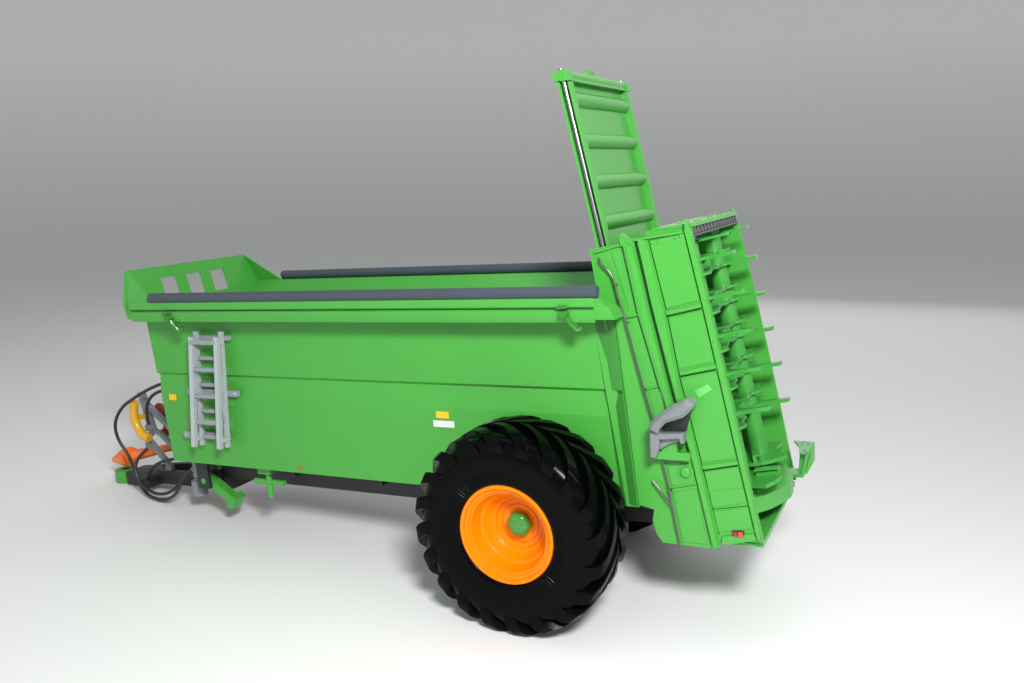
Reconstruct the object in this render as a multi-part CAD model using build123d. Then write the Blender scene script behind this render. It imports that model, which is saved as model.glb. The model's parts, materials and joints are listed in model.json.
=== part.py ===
from build123d import *
import os, math

# ---------------------------------------------------------------- driving dimensions (mm, toy at 1:32)
# working frame: origin on the axle centre line and mid-plane, +X forward, +Y left, +Z up, body level
WHEEL_R, TYRE_W, TRACK_Y = 28.0, 19.7, 35.35          # tyre radius, section width, half track
RIM_R, HUB_R = 13.5, 3.6
WALL_Y, WALL_T, WALL_Z0, WALL_Z1 = 24.5, 1.2, 3.7, 54.4  # hopper side sheet: outer face, thickness, bottom, top
FRONT_X0, FRONT_SLOPE = 138.1, 0.0625                 # front wall foot and its slope
LEAN = 0.1944                                         # 11 degrees: lean of the rear unit
REAR_A, SLOPE_A = -27.0, 0.13                         # rear edge of the hopper walls
REAR_B, SLOPE_B = -30.4, 0.14                         # front edge of the beater housing
HOUSE_Y, HOUSE_T = 24.8, 1.2                          # housing side sheet: outer face, thickness
DOOR_X, DOOR_D, DOOR_HW = -35.2, 3.3, 22.7            # door front face at z=0, depth, half width
DOOR_Z0, DOOR_Z1 = 53.0, 113.2                        # bottom and top of the raised door
DOOR_DROP = 46.0                                      # vertical travel down to the floor
ROD_Y, ROD_R, BARREL_R = 22.2, 0.62, 0.90             # door rods and the barrels they slide in
RAIL_Y, RAIL_Z = 32.4, 59.7                           # outer face and top of the rim rail
TUBE_R, TUBE_Y, TUBE_Z, TUBE_X0, TUBE_X1 = 1.6, 32.04, 61.3, -24.3, 129.5
HEAD_Z, HEAD_Y = 70.0, 28.0                           # headboard corners
BEAT_Y, BEAT_X, BEAT_R, BEAT_Z0, BEAT_Z1 = 11.9, -55.5, 11.2, 7.9, 72.5
FRAME_Y, FRAME_Z0 = 11.0, -5.5                        # chassis rails
HITCH_X, HITCH_Z, HITCH_T = 194.0, -13.8, 4.6         # hitch eye centre, thickness
FLOOR_Z0, FLOOR_Z1 = 3.7, 5.3

C3 = (Align.CENTER, Align.CENTER, Align.MIN)
parts, cords = {}, {}


def V(*p):
    return Vector(*p)


def slab(pts, axis, a, b):
    """prism: polygon in the plane across the axis, from a to b along it"""
    if axis == "y":
        w = [V(p, a, q) for p, q in pts]; d = V(0, 1, 0)
    elif axis == "x":
        w = [V(a, p, q) for p, q in pts]; d = V(1, 0, 0)
    else:
        w = [V(p, q, a) for p, q in pts]; d = V(0, 0, 1)
    return extrude(Face(Wire.make_polygon(w, close=True)), amount=b - a, dir=d)


def facet(pts3, d, t):
    return extrude(Face(Wire.make_polygon([V(*p) for p in pts3], close=True)), amount=t, dir=V(*d))


def box(x0, x1, y0, y1, z0, z1):
    return Pos((x0 + x1) / 2, (y0 + y1) / 2, (z0 + z1) / 2) * Box(x1 - x0, y1 - y0, z1 - z0)


def rod(p, q, r, r2=None):
    p, q = V(*p), V(*q)
    pl = Plane(origin=p, z_dir=(q - p).normalized())
    h = (q - p).length
    return pl * (Cylinder(r, h, align=C3) if r2 is None else Cone(r, r2, h, align=C3))


def bar(p, q, w, t, side=(0, 1, 0)):
    """flat bar from p to q, w across 'side', t across the rest"""
    p, q = V(*p), V(*q)
    pl = Plane(origin=p, x_dir=V(*side), z_dir=(q - p).normalized())
    return pl * Box(w, t, (q - p).length, align=C3)


def lathe(p, q, prof):
    """turned piece on the line p-q: prof holds (distance from p, radius)"""
    p, q = V(*p), V(*q)
    pts = [V(0, 0, prof[0][0])] + [V(r, 0, t) for t, r in prof] + [V(0, 0, prof[-1][0])]
    body = revolve(Face(Wire.make_polygon(pts, close=True)), axis=Axis.Z, revolution_arc=360)
    return Plane(origin=p, x_dir=V(0, 1, 0), z_dir=(q - p).normalized()) * body


def ycyl(r, y0, y1, x=0.0, z=0.0):
    return rod((x, y0, z), (x, y1, z), r)


def fuse(*s):
    out = s[0]
    for k in s[1:]:
        out = out + k
    return out


def mirror_y(s):
    return mirror(s, about=Plane.XZ)


def both(name, s):
    parts[name + "_left"] = s
    parts[name + "_right"] = mirror_y(s)


def xa(z): return REAR_A + SLOPE_A * z
def xb(z): return REAR_B + SLOPE_B * z
def xf(z): return FRONT_X0 + FRONT_SLOPE * (z - WALL_Z0)
def xd(z): return DOOR_X + LEAN * z
def xr(z): return -61.0 + LEAN * z
def xk(z): return BEAT_X + LEAN * z


# ---------------------------------------------------------------- hopper
prof = [(WALL_Y, WALL_Z0), (WALL_Y, 27.6), (23.5, 34.1), (24.7, 35.0), (25.1, WALL_Z1),
        (25.1 - WALL_T, WALL_Z1), (24.7 - WALL_T, 35.6), (23.5 - WALL_T, 34.4), (WALL_Y - WALL_T, 27.4), (WALL_Y - WALL_T, WALL_Z0)]
wall = slab(prof, "x", -60, 160)
keep = slab([(xa(0), 0), (xf(0), 0), (xf(60), 60), (xa(60), 60)], "y", 15, 40)
post = slab([(xb(WALL_Z0), WALL_Z0), (xa(WALL_Z0), WALL_Z0), (xa(WALL_Z1), WALL_Z1), (xb(WALL_Z1), WALL_Z1)], "y", 22.9, 25.1)
both("hopper_side", (wall & keep) + post)
parts["hopper_front_wall"] = slab([(xf(WALL_Z0), WALL_Z0), (xf(WALL_Z1), WALL_Z1), (xf(WALL_Z1) - WALL_T, WALL_Z1), (xf(WALL_Z0) - WALL_T, WALL_Z0)], "y", -22.2, 22.2)
parts["hopper_floor"] = box(-36.0, 136.6, -22.2, 22.2, FLOOR_Z0, FLOOR_Z1)
slats = [box(x, x + 1.6, -20.5, 20.5, FLOOR_Z1, FLOOR_Z1 + 0.9) for x in [-24 + 8.0 * i for i in range(20)]]
chains = [box(-27, 134.5, y - 0.8, y + 0.8, FLOOR_Z1, FLOOR_Z1 + 1.1) for y in (-17, -6, 6, 17)]
parts["scraper_floor"] = fuse(*slats, *chains)

# rim rail with the slope that widens the hopper, and the guard tube on it
rail = slab([(23.9, WALL_Z1), (RAIL_Y, WALL_Z1), (RAIL_Y + 0.2, 55.2), (RAIL_Y + 0.2, 59.2), (RAIL_Y, RAIL_Z), (30.2, RAIL_Z)], "x", -29.0, 140.0)
rail = rail - slab([(-40, 70), (-24.3, 70), (-24.3, 59.7), (-27.8, 57.1), (-29.0, 54.0), (-40, 50)], "y", 20, 40)
rail = rail - box(-40, -20.0, 20, 25.9, 50, 65)
both("rim_rail", rail)
both("guard_tube", rod((TUBE_X0, TUBE_Y, TUBE_Z), (TUBE_X1, TUBE_Y, TUBE_Z), TUBE_R))

# headboard: leaning plate with three windows, corner gussets back to the rail
hx = lambda z: xf(WALL_Z1) + 0.237 * (z - WALL_Z1)
plate = slab([(hx(WALL_Z1), WALL_Z1), (hx(HEAD_Z), HEAD_Z), (hx(HEAD_Z) - WALL_T, HEAD_Z), (hx(WALL_Z1) - WALL_T, WALL_Z1)], "y", -40, 40)
plate = plate & slab([(-32.4, 54.4), (32.4, 54.4), (32.4, 59.5), (HEAD_Y, HEAD_Z), (-HEAD_Y, HEAD_Z), (-32.4, 59.5)], "x", 120, 160)
for yc in (-11.5, 0.0, 11.5):
    plate = plate - box(120, 160, yc - 3.6, yc + 3.6, 58.6, 66.0)
gus = facet([(TUBE_X1 + 0.4, 31.8, RAIL_Z), (hx(RAIL_Z) - 1.0, 31.8, RAIL_Z), (hx(HEAD_Z) - 1.0, HEAD_Y - 0.1, HEAD_Z)], (0, -1, 0), 1.0)
parts["headboard"] = fuse(plate, gus, mirror_y(gus))

# ---------------------------------------------------------------- ladder on the left wall
# two nested sections: the rear one on wall brackets, the front one hooked on it and standing further off at its foot
lad = []
for xt, xb_ in ((117.0, 121.0), (106.2, 109.8)):
    lad.append(bar((xt, 27.0, 49.7), (xb_ - 0.1, 27.0, 11.2), 1.3, 1.3, side=(0, 1, 0)))
    lad.append(bar((xt, 29.1, 48.3), (xb_, 30.3, 11.6), 1.6, 1.5, side=(0, 1, 0)))


def lad_x(z): return 106.2 + (49.7 - z) * 0.095
for i in range(4):
    z = 40.9 - 8.85 * i
    lad.append(box(lad_x(z), lad_x(z) + 11.2, 26.5, 27.6, z - 0.6, z + 0.6))
    z = 46.5 - 8.85 * i
    lad.append(box(lad_x(z), lad_x(z) + 11.2, 28.4, 30.2, z - 0.6, z + 0.6))
lad.append(box(103.2, 124.9, 25.2, 26.6, 28.2, 30.2))
lad.append(box(109.4, 129.2, 25.2, 26.8, 13.2, 15.4))
lad.append(box(104.0, 118.6, 25.0, 26.6, 46.6, 48.2))
lad.append(box(112.0, 116.0, 23.4, 26.0, 28.4, 30.0))
lad.append(box(112.0, 118.0, 23.4, 26.0, 13.4, 15.2))
for x0, x1 in ((116.4, 117.8), (105.6, 107.0)):
    lad.append(box(x0, x1, 26.8, 29.0, 45.4, 47.4))
for x0, x1 in ((119.9, 121.3), (108.6, 110.0)):
    lad.append(box(x0, x1, 26.6, 29.8, 13.4, 15.0))
parts["ladder"] = fuse(*lad) - parts["hopper_side_left"]

# ---------------------------------------------------------------- chassis
rails = []
for s in (1, -1):
    rails.append(box(-34, 137, s * FRAME_Y - 1.6, s * FRAME_Y + 1.6, FRAME_Z0, WALL_Z0))
for x in (-30, 28, 78, 130):
    rails.append(box(x - 1.5, x + 1.5, -FRAME_Y, FRAME_Y, -3.5, WALL_Z0))
frame = fuse(*rails)
for x in (-14, 20, 54, 88, 120):
    frame = frame + box(x - 0.8, x + 0.8, -22.0, 22.0, 1.2, WALL_Z0)
DRIVE = ((-38.2, 0, -6.2), (136.9, 0, -1.2))            # driveline under the axle, front to rear
frame = frame - box(-3.0, 3.0, -30, 30, -3.0, 3.0) - rod(*DRIVE, 1.75)
parts["chassis_frame"] = frame
spring = slab([(-15, -5.6), (15, -5.6), (15, -6.6), (8, -8.2), (-8, -8.2), (-15, -6.6)], "y", 9.8, 12.2)
both("leaf_spring", spring)
parts["driveline"] = rod(*DRIVE, 1.6)

# ---------------------------------------------------------------- drawbar, hitch, front gear
arm = []
for s in (1, -1):
    arm.append(bar((132, s * 9.0, -8.6), (176, s * 3.4, -11.6), 2.4, 5.0, side=(0, 1, 0)))
arm.append(bar((170, 0, -11.4), (188.5, 0, -13.6), 9.0, 5.0, side=(0, 1, 0)))
arm.append(box(128, 134, -12.6, 12.6, -11.0, -5.5))
arm.append(box(150, 153, -8.0, 8.0, -12.0, -8.0))
parts["drawbar"] = fuse(*arm)
eye = fuse(Pos(HITCH_X, 0, HITCH_Z - HITCH_T / 2) * Cylinder(4.2, HITCH_T, align=C3), box(187.0, HITCH_X, -2.6, 2.6, HITCH_Z - 2.0, HITCH_Z + 2.0)) - parts["drawbar"]
eye = eye - Pos(HITCH_X, 0, HITCH_Z - 5) * Cylinder(2.1, 12, align=C3)
parts["hitch_eye"] = eye
parts["drawbar_tube"] = fuse(rod((138.6, 0, 1.2), (150, 0, 1.2), 3.0), rod((146.6, 0, 1.2), (149.4, 0, 1.2), 4.4), box(137.0, 139.2, -16, 16, -5.4, WALL_Z0),
                             rod((138, 14.4, -2.6), (140.6, 14.4, -2.6), 1.1), rod((138, 11.7, -2.6), (140.6, 11.7, -2.6), 1.1), rod((138, 9.0, -2.6), (140.6, 9.0, -2.6), 1.1))
PTO_LINE = ((150.4, 0, 3.0), (200.9, 0, -8.5))
parts["pto_shaft"] = lathe(*PTO_LINE, [(0, 2.4), (2.0, 2.4), (4.5, 1.35), (20, 1.5), (34.0, 2.1), (38.0, 2.2), (38.0, 2.7), (40.6, 2.7), (40.6, 3.8), (43.4, 3.7), (50.6, 1.3), (51.6, 0.6)])
RACK_Y = 4.3
parts["hose_rack"] = fuse(bar((173.6, RACK_Y, 22.0), (170.0, RACK_Y, 6.4), 2.2, 2.2), bar((171.4, RACK_Y, 17.0), (159.0, RACK_Y, 7.4), 2.0, 1.8), box(139.0, 160.0, RACK_Y - 0.9, RACK_Y + 0.9, 6.4, 8.4),
                          bar((170.2, RACK_Y, 6.8), (173.6, RACK_Y, 3.4), 1.8, 1.6), bar((173.6, RACK_Y, 3.8), (163.4, RACK_Y, -7.0), 1.8, 1.6), box(162.4, 165.4, RACK_Y - 0.9, RACK_Y + 0.9, -10.0, -6.4),
                          bar((166.6, RACK_Y, 6.2), (158.8, RACK_Y, 0.0), 1.6, 1.6), bar((170.4, RACK_Y, 7.6), (166.2, RACK_Y, 5.8), 1.6, 1.4), box(148.9, 159.4, RACK_Y - 0.8, RACK_Y + 0.8, -0.8, 0.9),
                          box(168.4, 170.6, RACK_Y, 7.4, 7.6, 9.9), box(170.5, 172.7, RACK_Y, 6.6, 0.5, 2.7)) - parts["drawbar"] - parts["hopper_front_wall"] - parts["drawbar_tube"]
parts["filter_canister"] = fuse(rod((139.5, 13.6, -12.4), (139.5, 13.6, -7.0), 2.7), rod((139.5, 13.6, -7.0), (139.5, 13.6, -6.2), 1.7), box(135.2, 139.0, 12.8, 14.4, -9.0, -7.4), box(135.2, 136.9, 12.8, 14.4, -9.0, -3.6))

# parking jack folded back under the frame, on a cross pin
JACK_Y, JACK_X, JACK_Z = 16.45, 131.0, -4.8
parts["jack_bracket"] = fuse(box(128.4, 133.6, 13.4, 14.6, -7.4, WALL_Z0), box(128.4, 133.6, 18.3, 19.5, -7.4, WALL_Z0), box(128.4, 133.6, 13.4, 19.5, 2.2, WALL_Z0), box(128.4, 133.6, 12.6, 13.6, -3.4, 0.2)) - ycyl(1.05, 10, 30, x=JACK_X, z=JACK_Z)
leg = bar((132.6, JACK_Y, -3.8), (120.6, JACK_Y, -11.6), 3.2, 3.2)
foot = bar((121.0, JACK_Y, -11.3), (119.0, JACK_Y, -12.6), 5.0, 5.0)
parts["parking_jack"] = fuse(leg, foot, ycyl(1.0, 13.5, 19.5, x=JACK_X, z=JACK_Z))
# brake crank: T handle under the left side
parts["brake_crank"] = fuse(rod((100.2, 20, 3.6), (100.2, 20, -7.6), 1.0), rod((93.8, 20, -2.2), (106.4, 20, -2.2), 0.9), box(97.5, 103, 17.0, 22.0, 1.0, 3.6))

# ---------------------------------------------------------------- beater housing
zt = 73.4
side = slab([(xb(71.1), 71.1), (xb(4.2), 4.2), (-33.9, 3.3), (-35.8, -5.5), (-50.4, -5.5), (-50.9, -3.0), (xr(-2.6), -2.6),
             (xr(74.2), 74.2), (-45.3, 77.6), (-44.4, zt + 0.8), (-30.6, zt), (-29.2, 74.8), (-28.0, 72.4)], "y", HOUSE_Y - HOUSE_T, HOUSE_Y)


def rib(p, q, w, h=1.0):
    """raised strip on the outer face of the housing side"""
    (x0, z0), (x1, z1) = p, q
    L = math.hypot(x1 - x0, z1 - z0)
    nx, nz = -(z1 - z0) / L * w / 2, (x1 - x0) / L * w / 2
    return slab([(x0 + nx, z0 + nz), (x1 + nx, z1 + nz), (x1 - nx, z1 - nz), (x0 - nx, z0 - nz)], "y", HOUSE_Y - 0.2, HOUSE_Y + h)


RIBS = [((-30.6, 72.0), (-38.9, 31.5), 2.9), ((-34.7, 73.2), (-49.8, -5.2), 2.3), ((-45.9, 73.6), (-60.4, -2.2), 1.6), ((-22.4, 68.9), (-24.6, 57.0), 0.9),
        ((-39.3, 54.0), (-48.6, 56.1), 1.6), ((-42.4, 38.9), (-51.6, 41.0), 1.6), ((-47.3, 15.0), (-56.4, 17.0), 1.6),
        ((-49.4, 4.9), (-58.3, 6.8), 0.8), ((-29.2, 53.8), (-32.6, 54.5), 0.8),
        ((-37.0, 16.1), (-43.4, 17.3), 0.8), ((-38.4, 9.5), (-44.8, 11.0), 0.8)]
house = side
for p, q, w in RIBS:
    house = house + rib(p, q, w)
house = house + ycyl(1.9, HOUSE_Y - 0.2, HOUSE_Y + 1.0, x=-42.7, z=14.3)
both("beater_housing", house)
inside = HOUSE_Y - HOUSE_T
parts["housing_top_beam"] = fuse(slab([(-33.5, 74.5), (-33.5, 75.6), (-46.6, 76.6), (-46.8, 75.4)], "y", -inside, inside),
                                 slab([(-45.4, 75.6), (-46.8, 75.6), (-47.0, 74.2), (-45.6, 74.2)], "y", -inside, inside),
                                 *[slab([(-34.5, 71.8), (-34.5, 75.0), (-46.2, 76.0), (-46.6, 71.8)], "y", min(t * 22.6, t * inside), max(t * 22.6, t * inside)) for t in (1, -1)])
# lower deck that carries the beaters, with its skirt
DECK = [(-36.2, 23.5), (-50.0, 23.5), (-54.6, 20.0), (-58.4, 15.6), (-60.9, 12.0), (-63.0, 7.0), (-64.4, 2.0)]
inner = [(-37.6, 22.3), (-49.5, 22.3), (-53.8, 19.1), (-57.4, 14.9), (-59.8, 11.4), (-61.8, 6.6), (-63.2, 1.8)]
poly = DECK + [(x, -y) for x, y in reversed(DECK)]
hol = inner + [(x, -y) for x, y in reversed(inner)]
deck = slab(poly, "z", 1.5, 5.8) - slab(hol, "z", 0.5, 4.6)
# plate under the skirt with a turned-up rear bar, hung on the deck at both sides
deck = fuse(deck, box(-61.2, -52.4, -23.5, 23.5, -4.3, -3.5), box(-61.2, -59.6, -23.5, 23.5, -4.3, -2.9),
            box(-53.4, -46.0, 22.3, 23.5, -4.3, 2.4), box(-53.4, -46.0, -23.5, -22.3, -4.3, 2.4))
# deflector standing behind the right disc
guard = fuse(slab([(-64.9, 11.8), (-66.9, 11.6), (-67.5, 6.5), (-65.6, 2.7), (-64.3, 4.6), (-64.9, 8.0)], "y", -12.2, -11.4),
             slab([(-64.9, 11.8), (-64.9, 11.0), (-68.0, 10.7), (-68.0, 11.4)], "y", -16.5, -11.6),
             slab([(-59.8, 2.2), (-59.8, 3.8), (-65.9, 4.0), (-65.4, 2.7)], "y", -12.6, -11.2),
             slab([(-64.9, 11.2), (-66.9, 11.2), (-67.4, 6.5), (-65.6, 2.7), (-65.0, 4.0)], "y", -16.5, -15.9),
             slab([(-67.4, 11.2), (-68.0, 11.2), (-68.0, 6.6), (-66.4, 3.4), (-66.0, 4.2), (-67.3, 6.8)], "y", -16.5, -11.6))
parts["rear_deck"] = fuse(deck, guard)
# gearboxes under the deck
gear = [box(-56.4, -48.5, s * BEAT_Y - 3.6, s * BEAT_Y + 3.6, -2.6, 4.6) for s in (1, -1)]
gear.append(box(-55.6, -51.6, -9, 9, -1.6, 2.0))
gear.append(box(-52.2, -38.3, -3.0, 3.0, -8.2, 1.2))
parts["gearbox"] = fuse(*gear)

# ---------------------------------------------------------------- sliding door, raised, with its two rods
def lean_slab(x_off, depth, y0, y1, z0, z1):
    """plate that leans with the rear unit, front face x_off behind the door line"""
    return slab([(xd(z0) - x_off, z0), (xd(z1) - x_off, z1), (xd(z1) - x_off - depth, z1), (xd(z0) - x_off - depth, z0)], "y", y0, y1)


# the door's edges are open channels; a rod stands in each and slides in a barrel fixed to the housing
WEB_Y = 20.2
skin = lean_slab(0.7, 0.8, -WEB_Y, WEB_Y, DOOR_Z0, DOOR_Z1)
bits = [skin, lean_slab(0.3, DOOR_D - 0.6, -WEB_Y, WEB_Y, DOOR_Z0, DOOR_Z0 + 1.2)]
for s in (1, -1):
    for off, dep, ya, yb in ((0, DOOR_D, WEB_Y, WEB_Y + 0.8), (0, 0.6, WEB_Y, DOOR_HW), (DOOR_D - 0.6, 0.6, WEB_Y, DOOR_HW)):
        bits.append(lean_slab(off, dep, min(s * ya, s * yb), max(s * ya, s * yb), DOOR_Z0, DOOR_Z1))
CORR_Z = [108.8 - 10.5 * i for i in range(6)]
for z in CORR_Z:
    bits.append(rod((xd(z) - 1.1, -WEB_Y, z), (xd(z) - 1.1, WEB_Y, z), 2.1) & lean_slab(0.8, 8, -30, 30, 40, 120))
parts["door"] = fuse(*bits)
zb = DOOR_Z1 + 1.3
bar_ = fuse(rod((xd(zb) - 2.0, -23.3, zb), (xd(zb) - 2.0, 23.3, zb), 1.4), lean_slab(0.1, 3.1, -22.7, 22.7, DOOR_Z1, DOOR_Z1 + 0.9),
            rod((xd(zb) - 1.0, 0, zb + 1.6), (xd(zb) + 0.4, 0, zb + 1.6), 1.7), lean_slab(-0.4, 1.6, -1.7, 1.7, zb - 0.6, zb + 1.6),
            *[lean_slab(o, 1.5, min(t * 21.0, t * 23.5), max(t * 21.0, t * 23.5), DOOR_Z1, DOOR_Z1 + 2.3) for o in (-0.7, 2.2) for t in (1, -1)])
for s, nm in ((1, "left"), (-1, "right")):
    y = s * ROD_Y
    def at_rod(z): return (xd(z) - DOOR_D / 2, y, z)
    rod_ = rod(at_rod(62.5), at_rod(DOOR_Z1 + 3.0), ROD_R)
    parts["door_rod_" + nm] = rod_
    bar_ = bar_ - rod(at_rod(100), at_rod(DOOR_Z1 + 6), ROD_R)
    foot_ = slab([(xd(6.6) - 0.75, 6.6), (xd(10.6) - 0.75, 10.6), (xd(10.6) - 2.55, 10.6), (xd(6.6) - 2.55, 6.6)], "y", min(s * 21.25, s * 23.6), max(s * 21.25, s * 23.6))
    barrel = fuse(rod(at_rod(9.5), at_rod(66.5), BARREL_R), foot_) - rod(at_rod(11.5), at_rod(70), ROD_R + 0.06)
    g = [lean_slab(-1.1, 0.8, min(s * 21.0, s * 23.6), max(s * 21.0, s * 23.6), 5.9, 66.8), lean_slab(DOOR_D + 0.3, 1.0, min(s * 21.0, s * 23.6), max(s * 21.0, s * 23.6), 5.9, 66.8)]
    g.append(lean_slab(-1.1, DOOR_D + 2.4, min(s * 23.2, s * 23.6), max(s * 23.2, s * 23.6), 5.9, 66.8))
    parts["door_guide_" + nm] = fuse(*g, barrel) - rod(at_rod(11.5), at_rod(70), ROD_R + 0.06) - parts["hopper_side_" + nm]
parts["door_top_bar"] = bar_ - parts["door"]
# ---------------------------------------------------------------- beaters
def up(x_c, y_c, z):
    return (xk(z) + x_c, y_c, z)


axis_dir = V(LEAN, 0, 1).normalized()
FLIGHT_Z = [24.6, 34.8, 44.6, 54.4, 64.3]

for h0, nm in ((1.9, "left"), (-1.9, "right")):
    yc = BEAT_Y
    tube = fuse(rod(up(0, yc, BEAT_Z0), up(0, yc, BEAT_Z1), 2.5), rod(up(0, yc, 5.4), up(0, yc, 75.6), 1.2))
    fl = []
    for z in FLIGHT_Z + [70.8]:
        top = z == 70.8
        pl = Plane(origin=V(*up(0, yc, z)), z_dir=axis_dir, x_dir=V(1, 0, -LEAN).normalized())
        for j in range(4):
            pa = pl * Rot(0, 0, 90 * j)
            if top:
                fl.append(pa * Pos(5.8, 0, 0) * Box(9.6, 2.2, 0.6))
            elif j % 2 == 0:
                # knives, fore and aft
                fl.append(pa * Pos(6.6, 0, h0) * Box(9.2, 2.4, 1.0))
            else:
                # paddles: two plates with a tab standing between them
                for h in (-1.9, 1.9):
                    fl.append(pa * Pos(5.6, 0, h) * Box(8.0, 4.6, 0.7))
                fl.append(pa * Pos(9.1, 0, 0) * Box(0.8, 4.0, 4.1))
        if not top:
            fl += [pl * Pos(0, 0, h - 0.35) * Cylinder(4.3, 0.7, align=C3) for h in (-1.9, 1.9)]
    beater = fuse(tube, *fl)
    pl = Plane(origin=V(*up(0, yc, 7.9)), z_dir=axis_dir, x_dir=V(1, 0, -LEAN).normalized()) * Rot(0, 0, 0 if nm == "left" else 75)
    arc = [(10.1 * math.cos(math.radians(t)), 10.1 * math.sin(math.radians(t))) for t in range(-42, 43, 14)]
    wing = arc + [(2.6, 4.9), (-2.6, 4.9)] + [(-x, -y) for x, y in arc] + [(-2.6, -4.9), (2.6, -4.9)]
    disc = pl * Pos(0, 0, 0.1) * extrude(Face(Wire.make_polygon([V(x, y, 0) for x, y in wing], close=True)), amount=1.0, dir=V(0, 0, 1))
    for j in range(2):
        pd = pl * Rot(0, 0, 180 * j)
        disc = fuse(disc, pd * Pos(6.7, 1.8, 1.9) * Box(6.2, 1.0, 2.4), pd * Pos(6.7, 1.2, 2.9) * Box(6.2, 2.0, 0.5))
    disc = disc - rod(up(0, yc, 4), up(0, yc, 20), 2.51)
    if nm == "right":
        beater, disc = mirror_y(beater), mirror_y(disc)
    parts["beater_" + nm] = beater
    parts["beater_disc_" + nm] = disc
# bearings above and below each beater
for s in (1, -1):
    pin = rod(up(0, s * BEAT_Y, 5.0), up(0, s * BEAT_Y, 80.0), 1.26)
    parts["housing_top_beam"] = parts["housing_top_beam"] - pin
    parts["rear_deck"] = fuse(parts["rear_deck"], Pos(xk(5), s * BEAT_Y, 4.8) * Cylinder(3.2, 1.9, align=C3)) - pin
# ---------------------------------------------------------------- wheels
y0, y1 = TRACK_Y - TYRE_W / 2, TRACK_Y + TYRE_W / 2
sec = [(RIM_R, y0 + 3.2), (RIM_R + 3.0, y0 + 1.2), (RIM_R + 6.5, y0), (WHEEL_R - 3.4, y0), (WHEEL_R - 0.8, y0 + 1.4), (WHEEL_R, y0 + 4.2),
       (WHEEL_R, y1 - 4.2), (WHEEL_R - 0.8, y1 - 1.4), (WHEEL_R - 3.4, y1), (RIM_R + 6.5, y1), (RIM_R + 3.0, y1 - 0.5), (RIM_R, y1 - 1.3)]
tyre = revolve(Face(Wire.make_polygon([V(0, y, r) for r, y in sec], close=True)), axis=Axis.Y, revolution_arc=360)
both("tyre", tyre)
rsec = [(1.56, 30.6), (1.56, 34.9), (5.0, 34.9), (6.8, 34.7), (7.6, 35.7), (9.3, 38.9), (10.1, 42.4), (10.7, 43.8), (13.3, 44.2), (RIM_R, 43.9), (RIM_R, 27.6), (12.4, 27.2), (11.2, 30.2), (6.0, 31.4), (5.0, 30.6)]
rim = revolve(Face(Wire.make_polygon([V(0, y, r) for r, y in rsec], close=True)), axis=Axis.Y, revolution_arc=360)
both("rim", rim)
both("hub_cap", fuse(*[ycyl(1.5, 34.9, 37.4, x=2.15 * math.cos(a), z=2.15 * math.sin(a)) for a in [i * math.pi / 3 for i in range(6)]], ycyl(2.6, 34.9, 38.0)) - ycyl(1.56, 30, 35.9))
parts["axle_pin"] = ycyl(1.5, -35.8, 35.8)
parts["axle_beam"] = fuse(box(-3, 3, -23.0, 23.0, -3, 3), ycyl(3.2, 23.0, 30.4), ycyl(3.2, -30.4, -23.0)) - ycyl(1.5, -60, 60)

# ---------------------------------------------------------------- wheel chock on the housing, side pipe, lamps
parts["chock_holder"] = fuse(box(-41.5, -37.5, HOUSE_Y, 27.4, 19.0, 27.0), box(-44.5, -36.0, 26.2, 27.4, 18.0, 20.0)) - parts["beater_housing_left"]
parts["wheel_chock"] = slab([(-36.0, 28.6), (-39.4, 31.6), (-45.1, 34.9), (-47.4, 33.7), (-44.5, 29.8), (-42.1, 29.0), (-40.0, 28.4), (-38.4, 27.0), (-38.4, 25.2), (-43.9, 25.6), (-44.2, 23.4),
                             (-40.0, 22.5), (-37.6, 20.6), (-36.7, 19.0), (-35.1, 19.1), (-35.3, 26.7)], "y", 27.4, 32.0)
parts["lamp_left"] = box(-56.9, -54.0, HOUSE_Y, HOUSE_Y + 0.9, -1.4, 0.1)
parts["lamp_right"] = mirror_y(parts["lamp_left"])

# ---------------------------------------------------------------- hoses and air lines at the front
def bent(pts, r):
    """round bent line with flat ends"""
    radii = []
    for a, b, c in zip(pts, pts[1:], pts[2:]):
        u, w = V(*b) - V(*a), V(*c) - V(*b)
        radii.append(0.45 * min(u.length, w.length) / math.tan(math.radians(u.get_angle(w)) / 2))
    return sweep(Plane(origin=V(*pts[0]), z_dir=V(*pts[1]) - V(*pts[0])) * Circle(r), path=FilletPolyline(*[V(*p) for p in pts], radius=radii))


parts["air_line_yellow"] = fuse(bent([(171.7, 9.6, 19.4), (173.1, 9.6, 14.6), (172.3, 9.6, 10.0), (169.8, 9.6, 6.6), (166.6, 9.6, 5.4)], 1.6), box(171.1, 172.9, 5.4, 8.6, 12.2, 13.8))
parts["air_line_red"] = fuse(bent([(166.0, 0.6, 15.4), (166.9, 0.6, 11.0), (166.2, 0.6, 7.2), (164.2, 0.6, 4.4)], 1.6), box(165.7, 167.1, 0.6, 3.3, 12.3, 13.7))
HOSE_D = 1.2
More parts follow.
